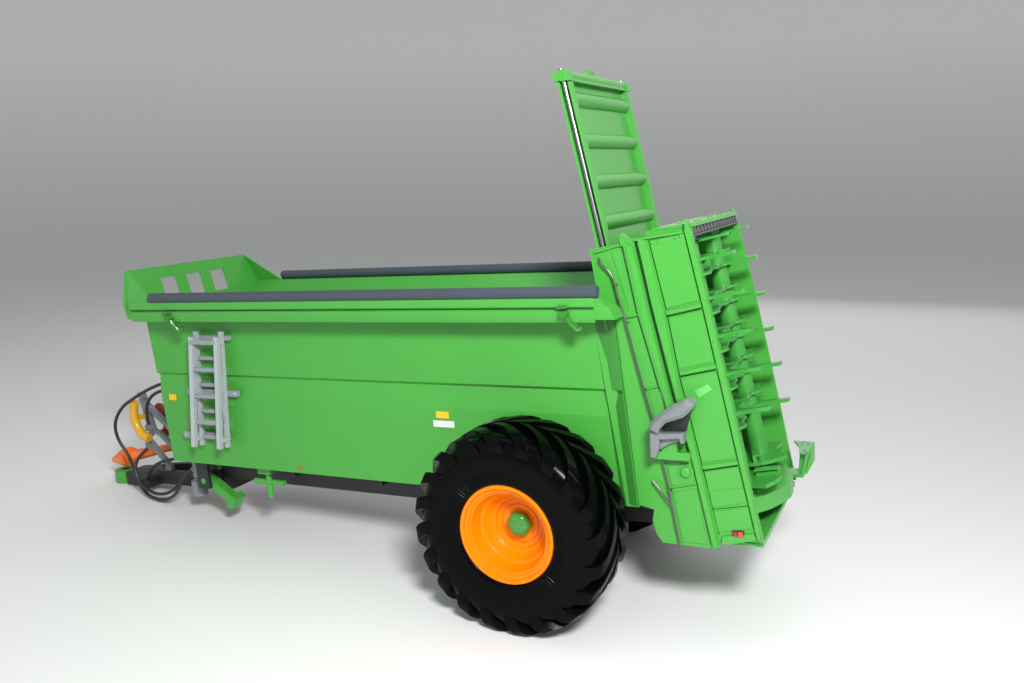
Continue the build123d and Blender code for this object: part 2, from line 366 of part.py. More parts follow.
# name: route points; each end sits in a fitting
ROUTES = {
    "hose_long": [(144.7, 9.0, 26.6), (152.7, 10.4, 27.9), (161.0, 11.2, 25.2), (169.0, 11.5, 21.6), (176.4, 12.0, 17.6), (181.4, 12.1, 11.2), (181.3, 11.6, 4.6), (178.0, 10.8, -0.6),
                  (176.8, 10.2, -6.8), (174.8, 10.4, -12.6), (170.0, 11.2, -16.6), (162.5, 12.4, -17.6), (154.8, 13.6, -15.6), (149.2, 14.4, -11.0), (145.6, 14.7, -5.8), (140.85, 14.4, -2.6)],
    "hose_lower": [(171.7, 6.7, 0.4), (173.8, 9.4, -1.8), (174.7, 11.4, -6.0), (173.0, 11.9, -10.8), (168.6, 12.1, -14.2), (162.3, 12.1, -15.4), (155.9, 12.0, -13.6), (150.9, 11.9, -9.6), (146.4, 11.8, -5.4), (140.85, 11.7, -2.6)],
    "hose_inner": [(172.0, 8.4, -11.05), (169.9, 8.7, -7.4), (165.2, 8.9, -4.4), (159.2, 9.1, -2.4), (152.6, 9.0, -1.5), (146.4, 9.0, -1.8), (140.85, 9.0, -2.6)],
    "hose_wall": [(144.7, 7.6, 22.6), (150.6, 8.0, 24.2), (157.2, 8.1, 24.2), (163.2, 7.8, 22.3), (167.8, 7.2, 18.8), (169.6, 6.7, 14.2), (169.5, 6.5, 10.0)],
}
parts["hose_manifold"] = fuse(box(139.0, 144.6, 6.2, 11.2, 20.6, 28.8)) - parts["hopper_front_wall"]
parts["hose_clamp_block"] = fuse(box(170.2, 174.6, 3.6, 9.8, -14.4, -11.4)) - parts["drawbar"] - parts["hose_rack"]


def hose(pts):
    """tube along straight runs joined by tangent arcs"""
    radii = []
    for a, b, c in zip(pts, pts[1:], pts[2:]):
        u, w = V(*b) - V(*a), V(*c) - V(*b)
        turn = math.radians(u.get_angle(w))
        radii.append(0.45 * min(u.length, w.length) / math.tan(turn / 2))
    print("radii", [round(r, 1) for r in radii], "runs", [round((V(*b) - V(*a)).length, 1) for a, b in zip(pts, pts[1:])])
    path = FilletPolyline(*[V(*p) for p in pts], radius=radii)
    start = Plane(origin=V(*pts[0]), z_dir=V(*pts[1]) - V(*pts[0]))
    return sweep(start * Circle(HOSE_D / 2), path=path)


# ---------------------------------------------------------------- park the part: nose down until the hitch eye meets the ground
low = (HITCH_X - 0.6, HITCH_Z - HITCH_T / 2)
def sag(a): return -math.sin(a) * (HITCH_X + 4.2 * math.cos(0)) + math.cos(a) * (HITCH_Z - HITCH_T / 2) + WHEEL_R
lo, hi = 0.0, math.radians(15)
for _ in range(60):
    mid = (lo + hi) / 2
    lo, hi = (mid, hi) if sag(mid) > 0 else (lo, mid)
PITCH = math.degrees((lo + hi) / 2)
turned = {n: Rot(0, PITCH, 0) * s for n, s in parts.items()}
bbs = [s.bounding_box() for s in turned.values()]
LO = [min(getattr(b.min, k) for b in bbs) for k in "XYZ"]
HI = [max(getattr(b.max, k) for b in bbs) for k in "XYZ"]
SHIFT = (-(LO[0] + HI[0]) / 2, -(LO[1] + HI[1]) / 2, -LO[2])
print("PITCH %.6f SHIFT %.6f %.6f %.6f SIZE %.3f %.3f %.3f" % (PITCH, *SHIFT, *[h - l for l, h in zip(LO, HI)]))
for n, pts in ROUTES.items():
    turned[n] = Rot(0, PITCH, 0) * hose(pts)
os.makedirs("parts", exist_ok=True)
for n, s in turned.items():
    export_step(Pos(*SHIFT) * s, "parts/%s.step" % n)
print(len(turned), "pieces")
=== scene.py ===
import math, json
import bpy, bmesh
from mathutils import Matrix, Vector


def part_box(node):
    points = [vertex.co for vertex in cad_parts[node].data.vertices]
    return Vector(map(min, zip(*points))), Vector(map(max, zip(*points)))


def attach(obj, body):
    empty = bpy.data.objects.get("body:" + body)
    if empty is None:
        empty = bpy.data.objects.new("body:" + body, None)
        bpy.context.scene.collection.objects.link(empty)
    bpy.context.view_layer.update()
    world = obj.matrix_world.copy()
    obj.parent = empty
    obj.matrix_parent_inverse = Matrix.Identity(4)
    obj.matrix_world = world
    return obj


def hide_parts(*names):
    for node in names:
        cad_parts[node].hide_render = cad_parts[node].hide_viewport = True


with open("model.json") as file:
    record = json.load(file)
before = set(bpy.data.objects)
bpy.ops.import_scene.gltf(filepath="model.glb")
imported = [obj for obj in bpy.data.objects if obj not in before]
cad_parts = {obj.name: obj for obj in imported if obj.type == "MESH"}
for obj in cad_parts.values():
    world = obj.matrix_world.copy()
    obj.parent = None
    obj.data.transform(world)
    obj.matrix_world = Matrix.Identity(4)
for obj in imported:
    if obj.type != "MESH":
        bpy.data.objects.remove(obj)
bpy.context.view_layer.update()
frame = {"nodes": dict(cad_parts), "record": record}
NODES = frame["nodes"]

# ------------------------------------------------------------------ working frame
# pieces are written in the body's own level frame in millimetres (origin on the axle, +X forward, +Y left),
# and carried into the row frame, where the toy stands nose down on its hitch eye
PITCH = math.radians(3.450583)
_lo, _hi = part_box("axle_pin")
ORG = (_lo + _hi) / 2
TO = Matrix.Translation(ORG) @ Matrix.Rotation(PITCH, 4, 'Y') @ Matrix.Scale(0.001, 4)
LEAN = 0.1944
UP = Vector((LEAN, 0, 1)).normalized()


def row(p):
    return TO @ Vector(p)


# ------------------------------------------------------------------ mesh builder
class Shape:
    """verts and faces in millimetres of the body frame"""

    def __init__(s):
        s.v, s.f, s.m = [], [], []

    def add(s, v, f, mat=0):
        o = len(s.v)
        s.v += [Vector(p) for p in v]
        s.f += [[o + i for i in q] for q in f]
        s.m += [mat] * len(f)
        return s

    def join(s, other):
        o = len(s.v)
        s.v += other.v
        s.f += [[o + i for i in q] for q in other.f]
        s.m += other.m
        return s

    def moved(s, M):
        t = Shape(); t.v = [M @ p for p in s.v]; t.f = [list(q) for q in s.f]; t.m = list(s.m)
        return t

    def mirrored(s):
        t = Shape(); t.v = [Vector((p.x, -p.y, p.z)) for p in s.v]; t.f = [list(reversed(q)) for q in s.f]; t.m = list(s.m)
        return t

    def prism(s, pts, axis, a, b, mat=0):
        if axis == 'y':
            lo = [(p, a, q) for p, q in pts]; hi = [(p, b, q) for p, q in pts]
        elif axis == 'x':
            lo = [(a, p, q) for p, q in pts]; hi = [(b, p, q) for p, q in pts]
        else:
            lo = [(p, q, a) for p, q in pts]; hi = [(p, q, b) for p, q in pts]
        n = len(pts)
        f = [list(range(n)), list(range(2 * n - 1, n - 1, -1))] + [[i, n + i, n + (i + 1) % n, (i + 1) % n] for i in range(n)]
        return s.add(lo + hi, f, mat)

    def loft(s, sections, mat=0, closed_ends=True, ring=False):
        """rings of equal length joined side to side"""
        n = len(sections[0]); v = [p for sec in sections for p in sec]; f = []
        k = len(sections)
        for j in range(k if ring else k - 1):
            a, b = j * n, ((j + 1) % k) * n
            for i in range(n):
                f.append([a + i, a + (i + 1) % n, b + (i + 1) % n, b + i])
        if closed_ends and not ring:
            f.append(list(range(n - 1, -1, -1))); f.append([(k - 1) * n + i for i in range(n)])
        return s.add(v, f, mat)

    def box(s, x0, x1, y0, y1, z0, z1, mat=0):
        return s.prism([(x0, z0), (x1, z0), (x1, z1), (x0, z1)], 'y', y0, y1, mat)

    def tube(s, pts, r, n=16, mat=0, caps=True):
        pts = [Vector(p) for p in pts]
        rr = r if isinstance(r, (list, tuple)) else [r] * len(pts)
        secs = []
        t = (pts[1] - pts[0]).normalized()
        ref = Vector((0, 0, 1)) if abs(t.z) < 0.9 else Vector((0, 1, 0))
        u = (ref - t * ref.dot(t)).normalized()
        for i, p in enumerate(pts):
            if i == 0: d = pts[1] - pts[0]
            elif i == len(pts) - 1: d = pts[-1] - pts[-2]
            else: d = (pts[i + 1] - p).normalized() + (p - pts[i - 1]).normalized()
            d.normalize()
            u = (u - d * u.dot(d)).normalized(); w = d.cross(u)
            secs.append([p + (u * math.cos(2 * math.pi * j / n) + w * math.sin(2 * math.pi * j / n)) * rr[i] for j in range(n)])
        return s.loft(secs, mat, caps)

    def lathe(s, p, q, prof, n=48, mat=0, closed=False):
        """prof: (distance along p-q, radius); closed: the profile is a loop"""
        p, q = Vector(p), Vector(q); d = (q - p).normalized()
        ref = Vector((0, 0, 1)) if abs(d.z) < 0.9 else Vector((1, 0, 0))
        u = (ref - d * ref.dot(d)).normalized(); w = d.cross(u)
        secs = []
        for j in range(n):
            a = 2 * math.pi * j / n; e = u * math.cos(a) + w * math.sin(a)
            secs.append([p + d * t + e * max(r, 1e-4) for t, r in prof])
        k = len(prof); v = [x for sec in secs for x in sec]; f = []
        for j in range(n):
            a, b = j * k, ((j + 1) % n) * k
            for i in range(k if closed else k - 1):
                f.append([a + i, b + i, b + (i + 1) % k, a + (i + 1) % k])
        if not closed:
            f.append([j * k for j in range(n)][::-1]); f.append([j * k + k - 1 for j in range(n)])
        return s.add(v, f, mat)

    def bar(s, p, q, w, t, side=(0, 1, 0), mat=0):
        p, q = Vector(p), Vector(q); d = (q - p).normalized(); a = Vector(side)
        a = (a - d * a.dot(d)).normalized(); b = d.cross(a)
        sec = lambda c: [c + a * w / 2 + b * t / 2, c - a * w / 2 + b * t / 2, c - a * w / 2 - b * t / 2, c + a * w / 2 - b * t / 2]
        return s.loft([sec(p), sec(q)], mat)

    def ball(s, c, r, n=10, mat=0, squash=1.0, d=(0, 0, 1)):
        prof = [(r * squash * -math.cos(math.pi * i / n), r * math.sin(math.pi * i / n)) for i in range(n + 1)]
        c, d = Vector(c), Vector(d)
        return s.lathe(c, c + d, prof, 2 * n, mat)

    def strip(s, p, q, w, y0, y1, taper=0.25, mat=0):
        """raised strip on a side sheet, from (x,z) p to q, between y0 and y1, with sloping flanks"""
        (x0, z0), (x1, z1) = p, q
        L = math.hypot(x1 - x0, z1 - z0); nx, nz = -(z1 - z0) / L, (x1 - x0) / L
        a, b = w / 2, max(w / 2 - taper, 0.05)
        v = [(x0 + nx * a, y0, z0 + nz * a), (x1 + nx * a, y0, z1 + nz * a), (x1 - nx * a, y0, z1 - nz * a), (x0 - nx * a, y0, z0 - nz * a),
             (x0 + nx * b, y1, z0 + nz * b), (x1 + nx * b, y1, z1 + nz * b), (x1 - nx * b, y1, z1 - nz * b), (x0 - nx * b, y1, z0 - nz * b)]
        return s.add(v, [[0, 1, 2, 3], [7, 6, 5, 4], [0, 4, 5, 1], [1, 5, 6, 2], [2, 6, 7, 3], [3, 7, 4, 0]], mat)


def piece(name, shape, body, mats, replaces=(), bevel=0.0, seg=2, angle=33, sub=0):
    mats = mats if isinstance(mats, (list, tuple)) else [mats]
    me = bpy.data.meshes.new(name)
    me.from_pydata([row(p) for p in shape.v], [], shape.f)
    for m in mats: me.materials.append(m)
    me.polygons.foreach_set("material_index", shape.m)
    bm = bmesh.new(); bm.from_mesh(me)
    bmesh.ops.remove_doubles(bm, verts=bm.verts, dist=1e-8)
    bmesh.ops.recalc_face_normals(bm, faces=bm.faces)
    for fc in bm.faces: fc.smooth = True
    for e in bm.edges:
        e.smooth = len(e.link_faces) == 2 and e.calc_face_angle(0) < math.radians(angle)
    bm.to_mesh(me); bm.free()
    ob = bpy.data.objects.new(name, me)
    bpy.context.scene.collection.objects.link(ob)
    if bevel:
        b = ob.modifiers.new("edge", 'BEVEL'); b.width = bevel / 1000; b.segments = seg; b.limit_method = 'ANGLE'
        b.angle_limit = math.radians(angle); b.harden_normals = True; b.use_clamp_overlap = True
    if sub:
        m = ob.modifiers.new("sub", 'SUBSURF'); m.levels = sub; m.render_levels = sub
    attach(ob, body)
    if replaces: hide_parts(*([replaces] if isinstance(replaces, str) else replaces))
    return ob


# ------------------------------------------------------------------ materials
def new_mat(name):
    m = bpy.data.materials.new(name); m.use_nodes = True
    return m, m.node_tree, m.node_tree.nodes["Principled BSDF"]


def paint(name, col, rough=0.32, coat=0.5, var=0.10, vscale=60, bump=0.03, bscale=900, metal=0.0, coat_rough=0.12, spec=0.5, rvar=0.1):
    """moulded or painted finish: soft colour drift, fine grain in roughness, faint orange peel"""
    m, nt, b = new_mat(name); N, L = nt.nodes, nt.links
    b.inputs["Metallic"].default_value = metal
    b.inputs["Coat Weight"].default_value = coat
    b.inputs["Coat Roughness"].default_value = coat_rough
    b.inputs["Specular IOR Level"].default_value = spec
    tc = N.new("ShaderNodeTexCoord")
    n1 = N.new("ShaderNodeTexNoise"); n1.inputs["Scale"].default_value = vscale; n1.inputs["Detail"].default_value = 3
    L.new(tc.outputs["Object"], n1.inputs["Vector"])
    mix = N.new("ShaderNodeMix"); mix.data_type = 'RGBA'
    mix.inputs[6].default_value = (*[c * (1 - var) for c in col], 1); mix.inputs[7].default_value = (*[min(1, c * (1 + var)) for c in col], 1)
    L.new(n1.outputs["Fac"], mix.inputs[0]); L.new(mix.outputs[2], b.inputs["Base Color"])
    n2 = N.new("ShaderNodeTexNoise"); n2.inputs["Scale"].default_value = bscale; n2.inputs["Detail"].default_value = 2
    L.new(tc.outputs["Object"], n2.inputs["Vector"])
    mr = N.new("ShaderNodeMapRange"); mr.inputs[3].default_value = max(0.02, rough - rvar / 2); mr.inputs[4].default_value = rough + rvar / 2
    L.new(n1.outputs["Fac"], mr.inputs[0]); L.new(mr.outputs[0], b.inputs["Roughness"])
    bp = N.new("ShaderNodeBump"); bp.inputs["Strength"].default_value = bump; bp.inputs["Distance"].default_value = 0.0002
    L.new(n2.outputs["Fac"], bp.inputs["Height"]); L.new(bp.outputs[0], b.inputs["Normal"])
    return m


GREEN = paint("green_paint", (0.058, 0.335, 0.044), rough=0.36, coat=0.22, var=0.05, spec=0.35)
# dark green for thin strips in the joints, under the cross bars and along the rail fold: painted shade
JOINT_PAINTED_SHADE = paint("joint_shadow", (0.009, 0.050, 0.009), rough=0.7, coat=0.0, var=0.2, spec=0.1)
GREEN_D = paint("green_moulded", (0.048, 0.300, 0.045), rough=0.30, coat=0.45, var=0.08, spec=0.4)
# darker copy of the green paint: painted shade on the corner bands and the rail hooks
GREEN_PAINTED_SHADE = paint("green_painted_shade", (0.031, 0.190, 0.024), rough=0.40, coat=0.15, var=0.06, spec=0.35)
ORANGE = paint("rim_orange", (0.88, 0.205, 0.0006), rough=0.30, coat=0.10, var=0.04, spec=0.16)
ORANGE_P = paint("guard_orange", (0.90, 0.17, 0.006), rough=0.38, coat=0.2, var=0.06)
RUBBER = paint("tyre_rubber", (0.0010, 0.0012, 0.0013), rough=0.22, coat=0.0, var=0.25, bump=0.06, bscale=1600, spec=0.075)
TUBE = paint("guard_tube_grey", (0.052, 0.070, 0.085), rough=0.46, coat=0.03, var=0.10, spec=0.3)
SILVER = paint("ladder_silver", (0.42, 0.46, 0.48), rough=0.40, coat=0.1, var=0.08, metal=0.15)
# darker grey for the recessed rungs and brackets: painted shade
RUNG_PAINTED_SHADE = paint("ladder_rung_painted_shade", (0.26, 0.29, 0.31), rough=0.45, coat=0.05, var=0.10)
GREY = paint("grey_plastic", (0.20, 0.22, 0.24), rough=0.45, coat=0.05, var=0.12)
CHOCK = paint("chock_grey", (0.165, 0.185, 0.190), rough=0.30, coat=0.30, var=0.10)
DARK = paint("dark_chassis", (0.014, 0.016, 0.016), rough=0.5, coat=0.05, var=0.25)
CHROME = paint("rod_chrome", (0.30, 0.31, 0.32), rough=0.26, coat=0.0, var=0.05, metal=1.0, bump=0.01)
STEEL = paint("steel_wire", (0.17, 0.17, 0.15), rough=0.30, coat=0.0, var=0.3, metal=0.8)
YELLOW = paint("line_yellow", (0.66, 0.36, 0.010), rough=0.36, coat=0.3, var=0.10)
RED = paint("line_red", (0.36, 0.006, 0.030), rough=0.36, coat=0.3, var=0.10)
HOSE = paint("hose_black", (0.012, 0.015, 0.013), rough=0.42, coat=0.10, var=0.2)
LAMP = paint("lamp_orange_red", (0.55, 0.050, 0.004), rough=0.22, coat=0.6, var=0.35, vscale=700)
LAMP_R = paint("lamp_red", (0.22, 0.006, 0.003), rough=0.22, coat=0.6, var=0.35, vscale=700)
AMBER = paint("amber", (0.45, 0.12, 0.01), rough=0.25, coat=0.5, var=0.3, vscale=700)
PLATE_Y = paint("plate_yellow", (0.80, 0.50, 0.01), rough=0.4, coat=0.1, var=0.10, vscale=900)
PLATE_W = paint("plate_white", (0.72, 0.70, 0.69), rough=0.45, coat=0.1, var=0.08, vscale=900)
GREEN_H = paint("hub_green", (0.040, 0.235, 0.030), rough=0.24, coat=0.6, var=0.10, spec=0.4)
RUNG_D = paint("slotted_strip_grey", (0.075, 0.080, 0.080), rough=0.4, coat=0.1, var=0.2)
DECAL = paint("plate_pale_green", (0.13, 0.47, 0.12), rough=0.35, coat=0.2, var=0.05)

SLOT_MATS = {"paint_green": GREEN, "beater_green": GREEN_D, "rim_orange": ORANGE, "tyre_black": RUBBER, "tube_grey": TUBE, "ladder_silver": SILVER,
             "dark_chassis": DARK, "grey_plastic": GREY, "rod_chrome": CHROME, "pto_orange": ORANGE_P, "line_yellow": YELLOW, "line_red": RED,
             "hose_black": HOSE, "lamp_red": LAMP, "steel_pin": STEEL}
slots = {s["node"]: s["material_slot"] for s in frame["record"]["subparts"]}
for n, ob in NODES.items():
    ob.data.materials.clear(); ob.data.materials.append(SLOT_MATS[slots[n]])
    b = ob.modifiers.new("edge", 'BEVEL'); b.width = 0.00014; b.segments = 2; b.limit_method = 'ANGLE'; b.angle_limit = math.radians(35)
    b.harden_normals = True

# ------------------------------------------------------------------ camera (first, with the hoses)
F_PX = 891.84
CAM = Vector((-104.09, 235.62, 88.12))
R = Matrix(((-0.8936065, -0.4429048, -0.0728204), (-0.0115079, 0.1847912, -0.9827104), (0.4487038, -0.8773184, -0.1702275)))
cd = bpy.data.cameras.new("camera"); cam = bpy.data.objects.new("camera", cd)
bpy.context.scene.collection.objects.link(cam); bpy.context.scene.camera = cam
cd.sensor_width = 36.0; cd.lens = 36.0 * F_PX / 1024; cd.clip_start = 0.01; cd.clip_end = 20
rot = Matrix.Rotation(PITCH, 3, 'Y')
X, Y, Z = rot @ R[0], rot @ (-R[1]), rot @ (-R[2])
M = Matrix((X, Y, Z)).transposed().to_4x4(); M.translation = row(CAM)
cam.matrix_world = M

# ------------------------------------------------------------------ hoses
HOSE_D = 1.2
ROUTES = {
    "hose_long": [(144.7, 9.0, 26.6), (152.7, 10.4, 27.9), (161.0, 11.2, 25.2), (169.0, 11.5, 21.6), (176.4, 12.0, 17.6), (181.4, 12.1, 11.2), (181.3, 11.6, 4.6), (178.0, 10.8, -0.6),
                  (176.8, 10.2, -6.8), (174.8, 10.4, -12.6), (170.0, 11.2, -16.6), (162.5, 12.4, -17.6), (154.8, 13.6, -15.6), (149.2, 14.4, -11.0), (145.6, 14.7, -5.8), (140.85, 14.4, -2.6)],
    "hose_lower": [(171.7, 6.7, 0.4), (173.8, 9.4, -1.8), (174.7, 11.4, -6.0), (173.0, 11.9, -10.8), (168.6, 12.1, -14.2), (162.3, 12.1, -15.4), (155.9, 12.0, -13.6), (150.9, 11.9, -9.6), (146.4, 11.8, -5.4), (140.85, 11.7, -2.6)],
    "hose_inner": [(172.0, 8.4, -11.05), (169.9, 8.7, -7.4), (165.2, 8.9, -4.4), (159.2, 9.1, -2.4), (152.6, 9.0, -1.5), (146.4, 9.0, -1.8), (140.85, 9.0, -2.6)],
    "hose_wall": [(144.7, 7.6, 22.6), (150.6, 8.0, 24.2), (157.2, 8.1, 24.2), (163.2, 7.8, 22.3), (167.8, 7.2, 18.8), (169.6, 6.7, 14.2), (169.5, 6.5, 10.0)],
}
for n, pts in ROUTES.items():
    cu = bpy.data.curves.new(n, 'CURVE'); cu.dimensions = '3D'; cu.bevel_depth = HOSE_D / 2000; cu.bevel_resolution = 6; cu.resolution_u = 24; cu.use_fill_caps = True
    sp = cu.splines.new('NURBS'); sp.points.add(len(pts) - 1)
    for q, p in zip(sp.points, pts): q.co = (*row(p), 1.0)
    sp.order_u = 3; sp.use_endpoint_u = True
    cu.materials.append(HOSE)
    ob = bpy.data.objects.new(n + "_line", cu); bpy.context.scene.collection.objects.link(ob)
    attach(ob, "body"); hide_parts(n)
    # a mesh copy of the bare spline; no length is taken from it
    ev = ob.copy(); ev.data = cu.copy(); ev.data.bevel_depth = 0; bpy.context.scene.collection.objects.link(ev)
    bpy.context.view_layer.update()
    me = bpy.data.meshes.new_from_object(ev.evaluated_get(bpy.context.evaluated_depsgraph_get()))
    bpy.data.objects.remove(ev)

# ------------------------------------------------------------------ wheels
WHEEL_R, TRACK_Y, TYRE_HALF = 28.0, 35.35, 9.85


def tyre_shape():
    """carcass and two rows of curved lugs; y measured from the tyre's mid-plane, outer side positive"""
    s = Shape()
    half = [(8.1, 13.5), (8.75, 13.62), (9.1, 14.1), (9.22, 14.9), (9.25, 15.6), (9.42, 17.4), (9.66, 19.4), (9.7, 21.0), (9.45, 22.8), (8.9, 24.2), (8.0, 25.2), (6.6, 25.9), (4.6, 26.15), (2.4, 26.2), (0, 26.2)]
    prof = half + [(-a, r) for a, r in reversed(half[:-1])]
    inner = [(-7.6, 13.5), (7.6, 13.5)]
    s.lathe((0, 0, 0), (0, 1, 0), prof + inner, 120, 0, closed=True)
    # fine radial ribs on both side walls, near the rim
    for k in range(100):
        a = 2 * math.pi * k / 100
        for sg in (1, -1):
            e = Vector((math.cos(a), 0, math.sin(a)))
            p0, p1 = e * 14.5 + Vector((0, sg * 9.17, 0)), e * 17.2 + Vector((0, sg * 9.38, 0))
            s.bar(p0, p1, 0.34, 0.24, side=e.cross(Vector((0, 1, 0))))
    N = 20
    path = [(9.3, 22.3, 9.66, 22.35), (9.3, 22.8, 9.85, 23.0), (9.1, 23.7, 9.85, 24.6), (8.6, 24.6, 9.7, 26.0), (7.9, 25.3, 9.1, 27.1), (6.9, 25.7, 7.9, 27.65), (5.6, 26.0, 6.1, 27.85), (4.2, 26.1, 4.4, 27.95), (2.8, 26.1, 2.9, 28.0), (1.4, 26.1, 1.4, 28.0), (0.2, 26.1, 0.2, 28.0)]
    for sg in (1, -1):
        for k in range(N):
            base = 2 * math.pi * (k + (0.5 if sg < 0 else 0)) / N
            secs = []
            for i, (a0, r0, a1, r1) in enumerate(path):
                u = max(0.0, (i - 1) / (len(path) - 2))
                th = base + math.radians(29) * u ** 1.55
                wt = math.radians(4.5 - 1.5 * u); wb = wt + math.radians(0.55)
                pt = lambda ang, r, a: Vector((r * math.sin(ang), sg * a, r * math.cos(ang)))
                secs.append([pt(th - wb, r0, a0), pt(th - wt, r1, a1), pt(th + wt, r1, a1), pt(th + wb, r0, a0)])
            s.loft(secs)
    return s


def rim_shape():
    """outer side positive y, measured from the wheel's mid-plane"""
    s = Shape()
    prof = [(-7.75, 13.5), (8.25, 13.5), (8.6, 13.44), (8.84, 13.28), (8.94, 13.0), (8.92, 12.7), (8.76, 12.45), (8.45, 12.33), (8.1, 12.28), (8.0, 12.2), (7.97, 12.0), (8.0, 11.55), (7.93, 11.4), (7.55, 11.32), (7.4, 11.22), (7.38, 10.9),
            (7.3, 10.78), (6.9, 10.66), (5.5, 10.3), (4.2, 9.85), (3.9, 9.7), (3.75, 9.35), (3.6, 9.2), (2.6, 8.75), (1.6, 8.2), (0.9, 7.7), (0.75, 7.55), (0.7, 7.15), (0.6, 7.02), (0.2, 6.9), (-0.2, 6.7), (-0.5, 6.5), (-0.55, 6.3), (-0.55, 5.5), (-0.5, 5.35), (-0.3, 5.25), (-0.25, 5.1), (-0.25, 4.0), (-0.35, 3.8), (-0.35, 1.56),
            (-4.7, 1.56), (-4.7, 4.9), (-4.0, 6.0), (-5.1, 11.1), (-6.6, 11.9), (-7.6, 12.1), (-8.1, 12.4), (-8.15, 12.9), (-7.95, 13.4)]
    s.lathe((0, 0, 0), (0, 1, 0), prof, 128, 0, closed=True)
    return s


def hub_shape():
    """six-lobed ball that caps the axle"""
    s = Shape(); n = 72
    prof = [(-0.45, 0.84, 0.8), (-0.1, 0.94, 0.8), (0.3, 0.99, 0.8), (0.75, 1.0, 0.8), (1.2, 0.97, 0.8), (1.6, 0.90, 0.9), (1.95, 0.79, 0.9), (2.25, 0.64, 0.9), (2.45, 0.48, 0.8), (2.58, 0.30, 0.5), (2.64, 0.12, 0.1)]
    secs = []
    for t, k, lobe in prof:
        secs.append([((3.42 * k + 0.15 * lobe * math.cos(12 * math.pi * j / n)) * math.cos(2 * math.pi * j / n), t, (3.42 * k + 0.15 * lobe * math.cos(12 * math.pi * j / n)) * math.sin(2 * math.pi * j / n)) for j in range(n)])
    return s.loft(secs)


TY, RM, HB = tyre_shape(), rim_shape(), hub_shape()
for side, nm in ((1, "left"), (-1, "right")):
    M_ = Matrix.Translation((0, TRACK_Y, 0))
    for shp, label, mt, sl, bv in ((TY, "tyre", RUBBER, "tyre_black", 0.22), (RM, "rim", ORANGE, "rim_orange", 0.0), (HB, "hub_cap", GREEN_H, "paint_green", 0.0)):
        q = shp.moved(M_)
        if side < 0: q = q.mirrored()
        piece(f"{label}_{nm}_detail", q, "wheel_" + nm, mt, replaces=f"{label}_{nm}", bevel=bv, angle=30)

# ------------------------------------------------------------------ beater housing sides
HY, HI = 24.8, 23.6
XB = lambda z: -30.4 + 0.14 * z
XR = lambda z: -61.0 + LEAN * z


def lerp(a, b, t):
    return (a[0] + (b[0] - a[0]) * t, a[1] + (b[1] - a[1]) * t)


def hat(s, left, right, y0, y1, inset=0.45, mat=0):
    """raised band between two side lines given as (x, z) stations, with sloping flanks and ends"""
    secs = []
    for L_, R_ in zip(left, right):
        w = math.hypot(R_[0] - L_[0], R_[1] - L_[1]); k = min(inset / w, 0.45)
        a, b = lerp(L_, R_, k), lerp(L_, R_, 1 - k)
        secs.append([(L_[0], y0, L_[1]), (a[0], y1, a[1]), (b[0], y1, b[1]), (R_[0], y0, R_[1])])
    s.loft(secs, mat)
    return s


def plate4(s, q, y0, y1, inset=0.12, mat=0):
    """thin raised panel with slightly smaller outer face; q: corners (x, z)"""
    cx, cz = sum(p[0] for p in q) / len(q), sum(p[1] for p in q) / len(q)
    def inn(p):
        d = math.hypot(p[0] - cx, p[1] - cz); k = 1 - inset / d
        return (cx + (p[0] - cx) * k, cz + (p[1] - cz) * k)
    n = len(q); lo = [(p[0], y0, p[1]) for p in q]; hi = [(*[inn(p)[0]], y1, inn(p)[1]) for p in q]
    s.add(lo + hi, [list(range(n)), list(range(2 * n - 1, n - 1, -1))] + [[i, n + i, n + (i + 1) % n, (i + 1) % n] for i in range(n)], mat)
    return s


def dome(s, x, y, z, r, h=0.35, mat=0, n=14):
    s.lathe((x, y, z), (x, y + 1, z), [(-0.2, r), (h * 0.35, r * 0.96), (h * 0.75, r * 0.7), (h, r * 0.25)], n, mat)
    return s


def on_line(pts, z):
    """x on a polyline of (x, z) stations"""
    pts = sorted(pts, key=lambda p: p[1])
    for a, b in zip(pts, pts[1:]):
        if a[1] <= z <= b[1]: return a[0] + (b[0] - a[0]) * (z - a[1]) / (b[1] - a[1])
    a, b = (pts[0], pts[1]) if z < pts[0][1] else (pts[-2], pts[-1])
    return a[0] + (b[0] - a[0]) * (z - a[1]) / (b[1] - a[1])


R2L = [(-32.6, 73.4), (-35.7, 56.9), (-39.7, 38.0), (-44.5, 16.8), (-48.7, -5.2)]
R2R = [(-35.6, 72.9), (-39.3, 55.4), (-42.1, 38.0), (-47.0, 15.3), (-50.8, -4.6)]
PR = [(-44.8, 74.4), (-48.4, 57.0), (-51.6, 41.0), (-52.5, 36.0), (-56.2, 17.0), (-59.9, -1.3)]
PO = [(-46.65, 74.0), (-50.4, 56.6), (-53.6, 40.0), (-54.4, 36.2), (-58.0, 16.6), (-61.3, -2.4)]


